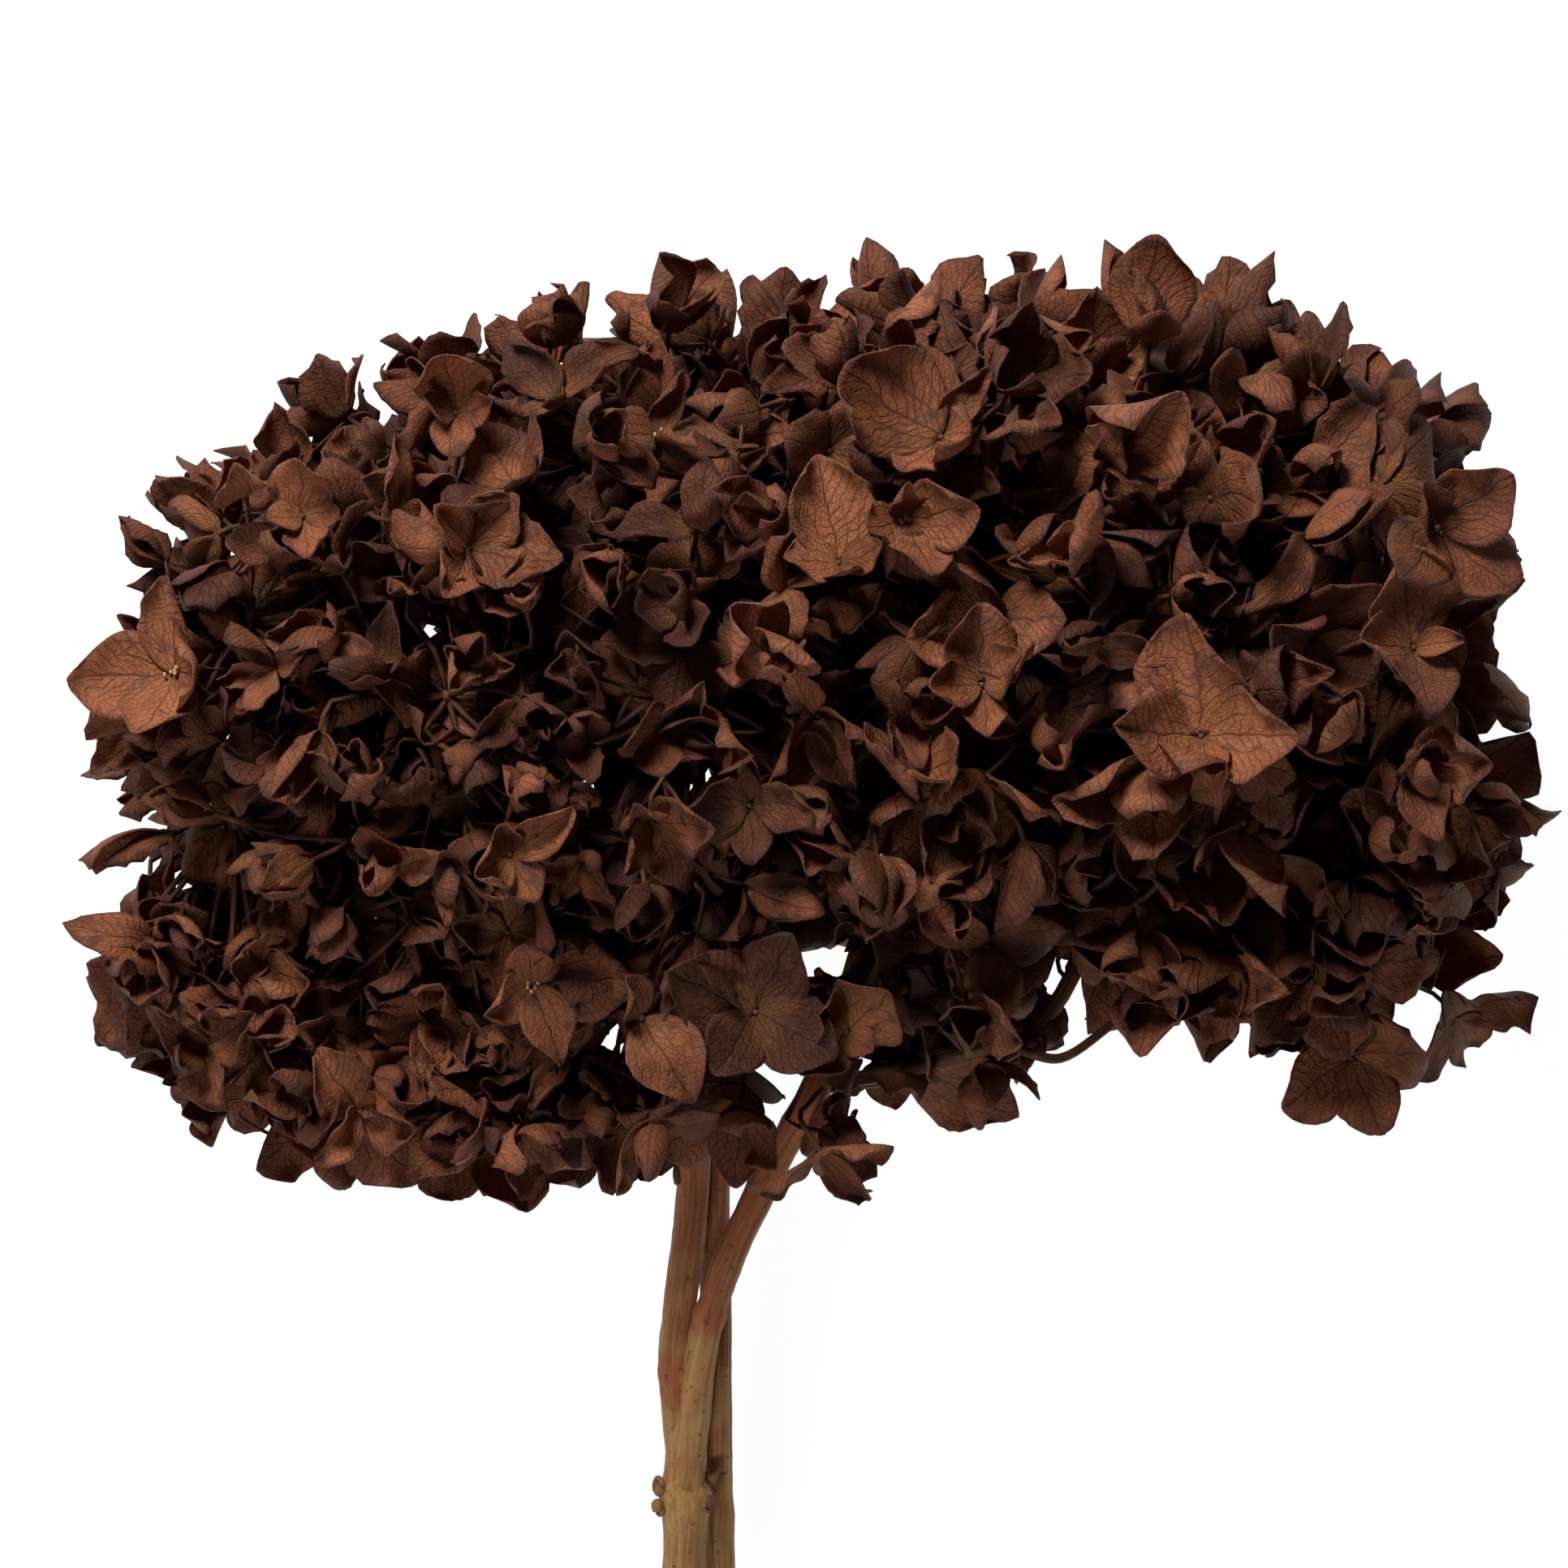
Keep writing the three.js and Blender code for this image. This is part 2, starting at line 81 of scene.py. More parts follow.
@dataclass
class NodeBench:
    """Adds and joins the nodes of one tree.

    Attributes:
        tree: The material's or group's node tree.
    """

    tree: bpy.types.NodeTree

    def add(self, kind: str, **settings: object) -> bpy.types.Node:
        """Adds a node.

        Args:
            kind: The node's type, without its ShaderNode prefix.
            **settings: Values for the node's own properties.

        Returns:
            The new node.
        """
        node = self.tree.nodes.new(kind if kind.startswith("NodeGroup") else f"ShaderNode{kind}")
        for name, value in settings.items():
            setattr(node, name, value)
        return node

    def feed(self, node: bpy.types.Node, **values: object) -> bpy.types.Node:
        """Gives a node's inputs their values.

        Args:
            node: The node to feed.
            **values: A socket to join or a plain value for each input, with _ for a space.

        Returns:
            The same node.
        """
        for name, value in values.items():
            socket = node.inputs[name.replace("_", " ")]
            if isinstance(value, bpy.types.NodeSocket):
                self.tree.links.new(value, socket)
            else:
                socket.default_value = value
        return node

    def number(self, operation: str, *terms: object) -> bpy.types.NodeSocket:
        """Works out one number from one, two or three others.

        Args:
            operation: The Math node's operation.
            *terms: Sockets or plain numbers.

        Returns:
            The result's socket.
        """
        node = self.add("Math", operation=operation)
        for socket, term in zip(node.inputs, terms):
            if isinstance(term, bpy.types.NodeSocket):
                self.tree.links.new(term, socket)
            else:
                socket.default_value = term
        return node.outputs[0]

    def fade(self, value: object, low: float, high: float,
             first: float = 0.0, last: float = 1.0) -> bpy.types.NodeSocket:
        """Goes smoothly from first to last while value goes from low to high.

        Args:
            value: The socket that drives it.
            low: Where the change starts.
            high: Where it is complete.
            first: The result at low.
            last: The result at high.

        Returns:
            The result's socket.
        """
        node = self.add("MapRange", interpolation_type="SMOOTHSTEP")
        self.feed(node, Value=value, From_Min=low, From_Max=high, To_Min=first, To_Max=last)
        return node.outputs["Result"]

    def blend(self, amount: object, first: object, second: object,
              mode: str = "MIX") -> bpy.types.NodeSocket:
        """Mixes two colours.

        Args:
            amount: How much of the second colour shows.
            first: The colour beneath.
            second: The colour on top.
            mode: The Mix node's blend type.

        Returns:
            The mixed colour's socket.
        """
        node = self.add("Mix", data_type="RGBA", blend_type=mode)
        for index, value in ((0, amount), (6, first), (7, second)):
            if isinstance(value, bpy.types.NodeSocket):
                self.tree.links.new(value, node.inputs[index])
            else:
                node.inputs[index].default_value = value
        return node.outputs[2]

    def scaled(self, vector: bpy.types.NodeSocket,
               factors: Sequence[float]) -> bpy.types.NodeSocket:
        """Stretches a pattern's coordinates by one factor for each axis."""
        node = self.add("VectorMath", operation="MULTIPLY")
        self.tree.links.new(vector, node.inputs[0])
        node.inputs[1].default_value = factors
        return node.outputs[0]

    def group(self, tree: bpy.types.NodeTree, **values: object) -> bpy.types.Node:
        """Places a node group and feeds its inputs."""
        return self.feed(self.add("Group", node_tree=tree), **values)


def new_group(name: str, inputs: dict[str, object],
              outputs: Sequence[str]) -> tuple[NodeBench, bpy.types.Node, bpy.types.Node]:
    """Starts a shader node group.

    Args:
        name: The group's name.
        inputs: Each input's name and default: a number, or None for a vector.
        outputs: The names of its number outputs.

    Returns:
        The bench of its tree, its input node and its output node.
    """
    tree = bpy.data.node_groups.new(name, "ShaderNodeTree")
    for label, default in inputs.items():
        kind = "NodeSocketVector" if default is None else "NodeSocketFloat"
        socket = tree.interface.new_socket(name=label, in_out="INPUT", socket_type=kind)
        if default is not None:
            socket.default_value = default
    for label in outputs:
        tree.interface.new_socket(name=label, in_out="OUTPUT", socket_type="NodeSocketFloat")
    bench = NodeBench(tree)
    return bench, bench.add("NodeGroupInput"), bench.add("NodeGroupOutput")


def petal_veins_group() -> bpy.types.NodeTree:
    """Builds the veins of a papery petal: midrib, fan, side veins and a fine net.

    Returns:
        A group that takes a place on the petal, across and along from 0 to 1, and a seed,
        and gives masks of its veins, rim and claw and the height of its surface.
    """
    bench, given, made = new_group(
        "petal_veins", {"Place": None, "Seed": 0.0}, ("Veins", "Rim", "Claw", "Height"))
    split = bench.feed(bench.add("SeparateXYZ"), Vector=given.outputs["Place"])
    shifted = bench.feed(bench.add("CombineXYZ"), X=given.outputs["Seed"],
                         Y=given.outputs["Seed"], Z=given.outputs["Seed"])
    place = bench.add("VectorMath", operation="ADD")
    bench.tree.links.new(given.outputs["Place"], place.inputs[0])
    bench.tree.links.new(shifted.outputs[0], place.inputs[1])
    wander = bench.feed(bench.add("TexNoise"), Vector=place.outputs[0], Scale=2.6, Detail=2.0)
    drift = bench.number("SUBTRACT", wander.outputs["Fac"], 0.5)
    across = bench.number("MULTIPLY_ADD", split.outputs["X"], 2.0, -1.0)
    across = bench.number("MULTIPLY_ADD", drift, 0.5, across)
    aside = bench.number("ABSOLUTE", across)
    along = split.outputs["Y"]

    midrib = bench.fade(aside, 0.0, 0.055, 1.0, 0.0)
    fan = bench.number("PINGPONG", bench.number("MULTIPLY", aside, 2.7), 0.5)
    fan = bench.number("MULTIPLY", bench.fade(fan, 0.0, 0.13, 1.0, 0.0),
                       bench.fade(along, 0.35, 0.8, 0.8, 0.15))
    slope = bench.number("MULTIPLY_ADD", aside, -0.42, along)
    slope = bench.number("MULTIPLY_ADD", drift, 0.55, slope)
    side = bench.number("PINGPONG", bench.number("MULTIPLY", slope, 8.5), 0.5)
    side = bench.number("MULTIPLY", bench.fade(side, 0.0, 0.15, 1.0, 0.0), 0.70)
    net = bench.feed(bench.add("TexVoronoi", feature="DISTANCE_TO_EDGE"),
                     Vector=bench.scaled(place.outputs[0], (13.0, 15.0, 1.0)), Scale=1.0)
    net = bench.fade(net.outputs["Distance"], 0.0, 0.09, 0.42, 0.0)
    veins = midrib
    for more in (fan, side, net):
        veins = bench.number("MAXIMUM", veins, more)

    far = bench.number("MAXIMUM", bench.number("ABSOLUTE", bench.number(
        "MULTIPLY_ADD", split.outputs["X"], 2.0, -1.0)), along)
    pleats = bench.number("SINE", bench.number("MULTIPLY", slope, 8.5 * 2 * math.pi))
    pleats = bench.number("MULTIPLY", pleats, bench.fade(wander.outputs["Fac"], 0.42, 0.6))
    grain = bench.feed(bench.add("TexNoise"), Vector=place.outputs[0], Scale=34.0, Detail=3.0)
    height = bench.number("MULTIPLY_ADD", pleats, 0.09, bench.number("MULTIPLY", veins, -0.42))
    height = bench.number("MULTIPLY_ADD", grain.outputs["Fac"], 0.45, height)
    bench.feed(made, Veins=veins, Rim=bench.fade(far, 0.80, 1.0), Height=height,
               Claw=bench.fade(bench.number("MULTIPLY_ADD", drift, 0.4, along),
                               0.02, 0.50, 1.0, 0.0))
    return bench.tree


def dry_blotches_group() -> bpy.types.NodeTree:
    """Builds the uneven drying of plant tissue: broad blotches and small dark specks.

    Returns:
        A group that takes a place and two scales, and gives both as masks.
    """
    bench, given, made = new_group(
        "dry_blotches", {"Place": None, "Blotch Scale": 100.0, "Speck Scale": 900.0},
        ("Blotches", "Specks"))
    blotches = bench.feed(bench.add("TexNoise"), Vector=given.outputs["Place"],
                          Scale=given.outputs["Blotch Scale"], Detail=3.0, Roughness=0.6)
    specks = bench.feed(bench.add("TexNoise"), Vector=given.outputs["Place"],
                        Scale=given.outputs["Speck Scale"], Detail=1.0)
    bench.feed(made, Blotches=bench.fade(blotches.outputs["Fac"], 0.3, 0.7),
               Specks=bench.fade(specks.outputs["Fac"], 0.66, 0.74))
    return bench.tree


def fibres_group() -> bpy.types.NodeTree:
    """Builds the long fibres of dry bark.

    Returns:
        A group that takes a place whose Z runs along the stem, in metres, and gives the
        fibres as a mask and the height of the bark.
    """
    bench, given, made = new_group("bark_fibres", {"Place": None}, ("Fibres", "Height"))
    fine = bench.feed(bench.add("TexNoise"), Scale=1.0, Detail=4.0, Roughness=0.65,
                      Vector=bench.scaled(given.outputs["Place"], (2400.0, 2400.0, 90.0)))
    broad = bench.feed(bench.add("TexNoise"), Scale=1.0, Detail=2.0,
                       Vector=bench.scaled(given.outputs["Place"], (700.0, 700.0, 22.0)))
    both = bench.number("MULTIPLY_ADD", fine.outputs["Fac"], 0.6,
                        bench.number("MULTIPLY", broad.outputs["Fac"], 0.4))
    bench.feed(made, Fibres=bench.fade(both, 0.36, 0.64), Height=both)
    return bench.tree


# ---- Finishes ----


@dataclass(frozen=True)
class SepalFinish:
    """A dried sepal: red brown paper, golden at its claw, purple grey at its rim.

    Attributes:
        pale: The lightest sepals.
        deep: The darkest sepals, and the painted shade of the florets that lie deep in the head.
        golden: The tissue near the claw.
        plum: The dry rim.
        vein: What the veins multiply the colour by.
        glow: The light that comes through.
        let_through: How much light comes through.
        roughness: The surface's roughness.
        relief: Height of the veins, in metres.
    """

    pale: Colour = (0.350, 0.118, 0.050, 1.0)
    deep: Colour = (0.064, 0.018, 0.007, 1.0)
    golden: Colour = (0.30, 0.125, 0.042, 1.0)
    plum: Colour = (0.085, 0.035, 0.026, 1.0)
    vein: Colour = (0.24, 0.18, 0.17, 1.0)
    glow: Colour = (0.50, 0.12, 0.035, 1.0)
    let_through: float = 0.14
    roughness: float = 0.56
    relief: float = 0.0006

    def material(self, veins: bpy.types.NodeTree,
                 blotches: bpy.types.NodeTree) -> bpy.types.Material:
        """Builds the material.

        Args:
            veins: The petal_veins group.
            blotches: The dry_blotches group.

        Returns:
            The material, which reads the sepal map and the tone and seed of each sepal.
        """
        material, bench, skin, out = new_material("dried_sepals")
        place = bench.add("UVMap", uv_map="sepal").outputs["UV"]
        seed = bench.add("Attribute", attribute_name="seed").outputs["Fac"]
        tone = bench.add("Attribute", attribute_name="tone").outputs["Fac"]
        marks = bench.group(veins, Place=place, Seed=seed)
        spots = bench.group(blotches, Place=bench.add("TexCoord").outputs["Object"],
                            Blotch_Scale=110.0, Speck_Scale=1500.0)
        # The tone is partly each sepal's own lightness and partly painted shade, darker for the
        # florets deep in the head.
        shade = bench.number("MULTIPLY_ADD", spots.outputs["Blotches"], 0.34,
                             bench.number("SUBTRACT", tone, 0.17))
        colour = bench.blend(bench.fade(shade, 0.0, 1.0), self.deep, self.pale)
        colour = bench.blend(bench.number("MULTIPLY", marks.outputs["Claw"], 0.5),
                             colour, self.golden)
        colour = bench.blend(bench.number("MULTIPLY", marks.outputs["Rim"], 0.5),
                             colour, self.plum)
        colour = bench.blend(bench.number("MULTIPLY", marks.outputs["Veins"], 0.80),
                             colour, self.vein, "MULTIPLY")
        scorch = bench.feed(bench.add("TexNoise"), Scale=260.0, Detail=2.0,
                            Vector=bench.add("TexCoord").outputs["Object"])
        scorch = bench.fade(scorch.outputs["Fac"], 0.54, 0.72, 0.0, 0.75)
        colour = bench.blend(bench.number("MAXIMUM", scorch, bench.number(
            "MULTIPLY", spots.outputs["Specks"], 0.4)), colour, self.plum)
        bump = bench.feed(bench.add("Bump"), Height=marks.outputs["Height"],
                          Strength=0.8, Distance=self.relief)
        bench.feed(skin, Base_Color=colour, Normal=bump.outputs[0], Roughness=bench.fade(
            spots.outputs["Blotches"], 0.0, 1.0, self.roughness, self.roughness + 0.12))
        skin.inputs["Specular IOR Level"].default_value = 0.22
        through = bench.feed(bench.add("BsdfTranslucent"), Color=self.glow,
                             Normal=bump.outputs[0])
        mix = bench.add("MixShader")
        mix.inputs[0].default_value = self.let_through
        bench.tree.links.new(skin.outputs[0], mix.inputs[1])
        bench.tree.links.new(through.outputs[0], mix.inputs[2])
        bench.tree.links.new(mix.outputs[0], out.inputs["Surface"])
        return material


@dataclass(frozen=True)
class BarkFinish:
    """Dry ribbed bark: red brown by the head and olive tan towards the cut ends.

    Attributes:
        by_head: Its colour near the head.
        by_cut: Its colour near the cut ends.
        groove: What the grooves between the fibres multiply it by.
        scar: The withered buds and scars.
        pith: The pale wood of a cut end.
        change: Where along Y the colour changes, from the cut ends' side to the head's.
        roughness: The bark's roughness.
        relief: Height of the fibres, in metres.
    """

    by_head: Colour = (0.31, 0.100, 0.034, 1.0)
    by_cut: Colour = (0.36, 0.198, 0.064, 1.0)
    groove: Colour = (0.40, 0.28, 0.19, 1.0)
    scar: Colour = (0.060, 0.026, 0.012, 1.0)
    pith: Colour = (0.46, 0.36, 0.21, 1.0)
    change: tuple[float, float] = (-0.066, -0.015)
    roughness: float = 0.5
    relief: float = 0.0004

    def material(self, fibres: bpy.types.NodeTree,
                 blotches: bpy.types.NodeTree) -> bpy.types.Material:
        """Builds the material.

        Args:
            fibres: The bark_fibres group.
            blotches: The dry_blotches group.

        Returns:
            The material, which reads the bark place and the cut mark of each vertex.
        """
        material, bench, skin, _ = new_material("stem_wood")
        place = bench.add("Attribute", attribute_name="bark").outputs["Vector"]
        cut = bench.add("Attribute", attribute_name="cut").outputs["Fac"]
        where = bench.add("TexCoord").outputs["Object"]
        grain = bench.group(fibres, Place=place)
        spots = bench.group(blotches, Place=where, Blotch_Scale=75.0, Speck_Scale=620.0)
        split = bench.feed(bench.add("SeparateXYZ"), Vector=where)
        height = bench.number("MULTIPLY_ADD", spots.outputs["Blotches"], 0.05,
                              bench.number("SUBTRACT", split.outputs["Y"], 0.025))
        colour = bench.blend(bench.fade(height, *self.change), self.by_cut, self.by_head)
        colour = bench.blend(bench.fade(grain.outputs["Fibres"], 0.0, 1.0, 0.62, 0.0),
                             colour, self.groove, "MULTIPLY")
        scar = bench.add("Attribute", attribute_name="scar").outputs["Fac"]
        stain = bench.number("MULTIPLY_ADD", spots.outputs["Blotches"], 0.35, 0.65)
        colour = bench.blend(bench.number("MULTIPLY", scar, stain), colour, self.scar)
        colour = bench.blend(bench.number("MULTIPLY", spots.outputs["Specks"], 0.8),
                             colour, self.groove, "MULTIPLY")
        colour = bench.blend(cut, colour, self.pith)
        bump = bench.feed(bench.add("Bump"), Height=grain.outputs["Height"],
                          Strength=0.8, Distance=self.relief)
        bench.feed(skin, Base_Color=colour, Normal=bump.outputs[0],
                   Roughness=bench.fade(grain.outputs["Fibres"], 0.0, 1.0,
                                        self.roughness + 0.2, self.roughness))
        skin.inputs["Specular IOR Level"].default_value = 0.22
        return material


@dataclass(frozen=True)
class StalkFinish:
    """Thin dry stalks and branches, dark red brown.

    Attributes:
        lit: Its lighter patches.
        deep: Its darker patches.
        roughness: The surface's roughness.
        relief: Height of the fibres, in metres.
    """

    lit: Colour = (0.15, 0.060, 0.026, 1.0)
    deep: Colour = (0.040, 0.016, 0.008, 1.0)
    roughness: float = 0.55
    relief: float = 0.0002

    def material(self, fibres: bpy.types.NodeTree,
                 blotches: bpy.types.NodeTree) -> bpy.types.Material:
        """Builds the material, with the same groups as the bark's."""
        material, bench, skin, _ = new_material("branch_wood")
        place = bench.add("Attribute", attribute_name="bark").outputs["Vector"]
        grain = bench.group(fibres, Place=place)
        spots = bench.group(blotches, Place=bench.add("TexCoord").outputs["Object"],
                            Blotch_Scale=140.0, Speck_Scale=1100.0)
        shade = bench.number("MULTIPLY", grain.outputs["Fibres"], spots.outputs["Blotches"])
        bump = bench.feed(bench.add("Bump"), Height=grain.outputs["Height"],
                          Strength=0.7, Distance=self.relief)
        bench.feed(skin, Base_Color=bench.blend(shade, self.deep, self.lit),
                   Normal=bump.outputs[0], Roughness=bench.fade(
                       spots.outputs["Specks"], 0.0, 1.0, self.roughness, 0.8))
        skin.inputs["Specular IOR Level"].default_value = 0.15
        return material


@dataclass(frozen=True)
class StamenFinish:
    """The dry buds in the floret centres, dark with pale golden tips.

    Attributes:
        golden: The pale tips.
        dark: The buds beneath.
        roughness: The surface's roughness.
    """

    golden: Colour = (0.50, 0.31, 0.12, 1.0)
    dark: Colour = (0.07, 0.028, 0.013, 1.0)
    roughness: float = 0.6

    def material(self, blotches: bpy.types.NodeTree) -> bpy.types.Material:
        """Builds the material, which reads each vertex's tip mark."""
        material, bench, skin, _ = new_material("floret_centres")
        tip = bench.add("Attribute", attribute_name="tip").outputs["Fac"]
        spots = bench.group(blotches, Place=bench.add("TexCoord").outputs["Object"],
                            Blotch_Scale=700.0, Speck_Scale=2500.0)
        amount = bench.number("MULTIPLY", tip, bench.fade(
            spots.outputs["Blotches"], 0.0, 1.0, 0.55, 1.0))
        bump = bench.feed(bench.add("Bump"), Height=spots.outputs["Blotches"],
                          Strength=0.6, Distance=0.0002)
        bench.feed(skin, Base_Color=bench.blend(amount, self.dark, self.golden),
                   Normal=bump.outputs[0], Roughness=bench.fade(
                       spots.outputs["Blotches"], 0.0, 1.0, self.roughness, 0.75))
        return material


def new_material(name: str) -> tuple[bpy.types.Material, NodeBench, bpy.types.Node,
                                     bpy.types.Node]:
    """Starts a material with a Principled shader joined to its output.

    Args:
        name: The material's name.

    Returns:
        The material, the bench of its tree, its shader and its output node.
    """
    material = bpy.data.materials.new(name)
    material.use_nodes = True
    bench = NodeBench(material.node_tree)
    bench.tree.nodes.clear()
    skin, out = bench.add("BsdfPrincipled"), bench.add("OutputMaterial")
    bench.tree.links.new(skin.outputs[0], out.inputs["Surface"])
    return material, bench, skin, out


@dataclass
class Finishes:
    """Every material of the flower, built once from shared groups."""

    sepals: bpy.types.Material = field(init=False)
    bark: bpy.types.Material = field(init=False)
    stalks: bpy.types.Material = field(init=False)
    centres: bpy.types.Material = field(init=False)

    def __post_init__(self) -> None:
        """Builds the groups and the materials that use them."""
        blotches, fibres = dry_blotches_group(), fibres_group()
        self.sepals = SepalFinish().material(petal_veins_group(), blotches)
        self.bark = BarkFinish().material(fibres, blotches)
        self.stalks = StalkFinish().material(fibres, blotches)
        self.centres = StamenFinish().material(blotches)


# ---- The head's form ----


@dataclass(frozen=True)
class HeadForm:
    """The head's outer surface: a rounded box, long in X, with its middle at a point.

    Attributes:
        middle: The middle of the head, in metres.
        half_width: Half its size along X.
        half_height: Half its size along Y.
        half_depth: Half its size along Z.
        outline_power: The squareness of its outline from end to end.
        section_power: The squareness of its cross section.
        rise: How much its long axis climbs towards +X.
    """

    middle: Vector
    half_width: float
    half_height: float = 0.076
    half_depth: float = 0.076
    outline_power: float = 2.6
    section_power: float = 2.3
    rise: float = 0.07

    @classmethod
    def from_frame(cls) -> "HeadForm":
        """Finds the head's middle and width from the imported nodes.

        Returns:
            The head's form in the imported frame.
        """
        left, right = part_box("left_end_florets")[0].x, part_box("right_end_florets")[1].x
        crown_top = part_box("forked_stem")[1].y  # the crowns stand below the head's middle
        crown_centre, crown_half, pressed_flat = 0.052, 0.0037, 0.005
        middle = Vector(((left + right) / 2, crown_top + crown_centre - crown_half,
                         cls.half_depth - pressed_flat))
        return cls(middle, (right - left) / 2)

    def place(self, x: float, y: float, z: float) -> Vector:
        """Turns millimetres from the head's middle, but up from the floor, into a point."""
        return Vector((self.middle.x + x * MM, self.middle.y + y * MM, z * MM))

    def share(self, x: float) -> float:
        """How much of its full height and depth the head has at x from its middle."""
        along = min(1.0, abs(x) / self.half_width)
        return (1.0 - along ** self.outline_power) ** (1.0 / self.outline_power)

    def front_height(self, x: float, y: float) -> float:
        """Finds the height of the head's front surface.

        Args:
            x: Metres across from the middle.
            y: Metres up the head from the middle.

        Returns:
            The surface's height above the floor, or the middle's outside the outline.
        """
        size = self.share(x)
        aside = abs(y - self.rise * x) / max(self.half_height * size, 1e-6)
        if aside >= 1.0:
            return self.middle.z
        power = self.section_power
        return self.middle.z + self.half_depth * size * (1.0 - aside ** power) ** (1.0 / power)

    def point(self, sweep: float, turn: float, inset: float = 0.0) -> Vector:
        """Finds a point of the surface or below it.

        Args:
            sweep: Place along X as an angle from -90 degrees to 90, in radians.
            turn: Place round the section, from +Z towards +Y, in radians.
            inset: Depth below the surface.

        Returns:
            The point, in metres.
        """
        along = math.sin(sweep)
        size = (1.0 - abs(along) ** self.outline_power) ** (1.0 / self.outline_power)
        x = (self.half_width - inset) * along
        up, out = (math.copysign(abs(part) ** (2.0 / self.section_power), part)
                   for part in (math.sin(turn), math.cos(turn)))
        return self.middle + Vector((x, self.rise * x + (self.half_height - inset) * size * up,
                                     (self.half_depth - inset) * size * out))

    def outward(self, sweep: float, turn: float) -> Vector:
        """Finds the direction straight out of the surface at a place."""
        step = 0.01
        along = self.point(sweep + step, turn) - self.point(sweep - step, turn)
        around = self.point(sweep, turn + step) - self.point(sweep, turn - step)
        normal = around.cross(along).normalized()
        out = self.point(sweep, turn) - self.middle
        return normal if normal.dot(out) > 0 else -normal


# ---- Sweeps ----


def smooth_line(points: Sequence[Vector], steps: int) -> list[Vector]:
    """Draws the smooth curve through points that stems, branches and stalks follow.

    Args:
        points: What the curve passes through.
        steps: How many steps it takes between two points.

    Returns:
        Points along the curve.
    """
    ends = [points[0] * 2 - points[1], *points, points[-1] * 2 - points[-2]]
    line = []
    for a, b, c, d in zip(ends, ends[1:], ends[2:], ends[3:]):
        t1 = max((b - a).length, 1e-6) ** 0.5
        t2 = t1 + max((c - b).length, 1e-6) ** 0.5
        t3 = t2 + max((d - c).length, 1e-6) ** 0.5
        for i in range(steps):
            t = t1 + (t2 - t1) * i / steps
            ab, bc, cd = (a.lerp(b, t / t1), b.lerp(c, (t - t1) / (t2 - t1)),
                          c.lerp(d, (t - t2) / (t3 - t2)))
            line.append(ab.lerp(bc, t / t2).lerp(bc.lerp(cd, (t - t1) / (t3 - t1)),
                                                 (t - t1) / (t2 - t1)))
    return [*line, points[-1].copy()]


@dataclass
class Sweep:
    """Sweeps a ribbed round section along a line, and marks the bark's place on it.

    Attributes:
        mesh: The bmesh that the sweep is added to.
        sides: How many sides the section has.
        ribs: How far the section's ribs stand out, as a share of its radius.
        rim_share: Width of the bark round a cut end, as a share of its radius.
    """

    mesh: bmesh.types.BMesh
    sides: int
    ribs: float = 0.0
    rim_share: float = 0.14

    def frames(self, line: Sequence[Vector]) -> list[Matrix]:
        """Finds the untwisted frame of each point of a line, with Z along the line."""
        ways = [(after - before).normalized() for before, after in
                zip([line[0], *line[:-1]], [*line[1:], line[-1]])]
        across = ways[0].orthogonal().normalized()
        found = []
        for point, way in zip(line, ways):
            across = (across - way * across.dot(way)).normalized()
            turn = Matrix((across, way.cross(across), way)).transposed()
            found.append(Matrix.Translation(point) @ turn.to_4x4())
        return found

    def run(self, line: Sequence[Vector], radius: Callable[[float], float],
            cut_start: bool = False) -> None:
        """Adds the swept tube, closed at both ends.

        Args:
            line: The points that it follows.
            radius: Its radius at a distance along the line, in metres.
            cut_start: Whether its first end is a clean cut that shows the pith.
        """
        mesh, frames = self.mesh, self.frames(line)
        bark = mesh.verts.layers.float_vector["bark"]
        cut = mesh.verts.layers.float["cut"]
        reach = radius(0.0)
        grown = bmesh.ops.create_circle(mesh, cap_ends=True, segments=self.sides,
                                        radius=1.0, matrix=Matrix.Identity(4))
        ring = grown["verts"]
        for vert in ring:
            angle = math.atan2(vert.co.y, vert.co.x)
            vert.co *= 1.0 + self.ribs * (0.6 * math.cos(5 * angle)
                                          + 0.4 * math.cos(8 * angle + 1.0))
        before = Matrix.Identity(4)
        edges = list(dict.fromkeys(edge for vert in ring for edge in vert.link_edges))
        cap = ring[0].link_faces[0]
        walked = 0.0
        for at, frame_here in enumerate(frames):
            if at:
                walked += (line[at] - line[at - 1]).length
                pushed = bmesh.ops.extrude_edge_only(mesh, edges=edges)["geom"]
                ring = [item for item in pushed if isinstance(item, bmesh.types.BMVert)]
                fresh = set(ring)
                edges = [item for item in pushed if isinstance(item, bmesh.types.BMEdge)
                         and item.verts[0] in fresh and item.verts[1] in fresh]
            reach = radius(walked)
            now = frame_here @ Matrix.Diagonal((reach, reach, 1.0, 1.0))
            bmesh.ops.transform(mesh, matrix=now @ before.inverted(), verts=ring)
            for vert in ring:
                local = now.inverted() @ vert.co
                vert[bark] = Vector((local.x * reach, local.y * reach, walked))
            before = now
        end = bmesh.ops.contextual_create(mesh, geom=edges)["faces"]
        if cut_start:
            bmesh.ops.inset_region(mesh, faces=[cap], thickness=reach * self.rim_share)
            for vert in cap.verts:
                vert[cut] = 1.0
                vert[bark] = Vector((0.0, 0.0, 0.0))
        bmesh.ops.recalc_face_normals(mesh, faces=list(mesh.faces) if cut_start else end)


def put_in_order(mesh: bmesh.types.BMesh) -> None:
    """Lists the faces by their vertices, as extruding edges lists them anew on each run."""
    mesh.verts.index_update()
    ranked = sorted(mesh.faces, key=lambda face: [vert.index for vert in face.verts])
    for rank, face in enumerate(ranked):
        face.index = rank
    mesh.faces.sort()


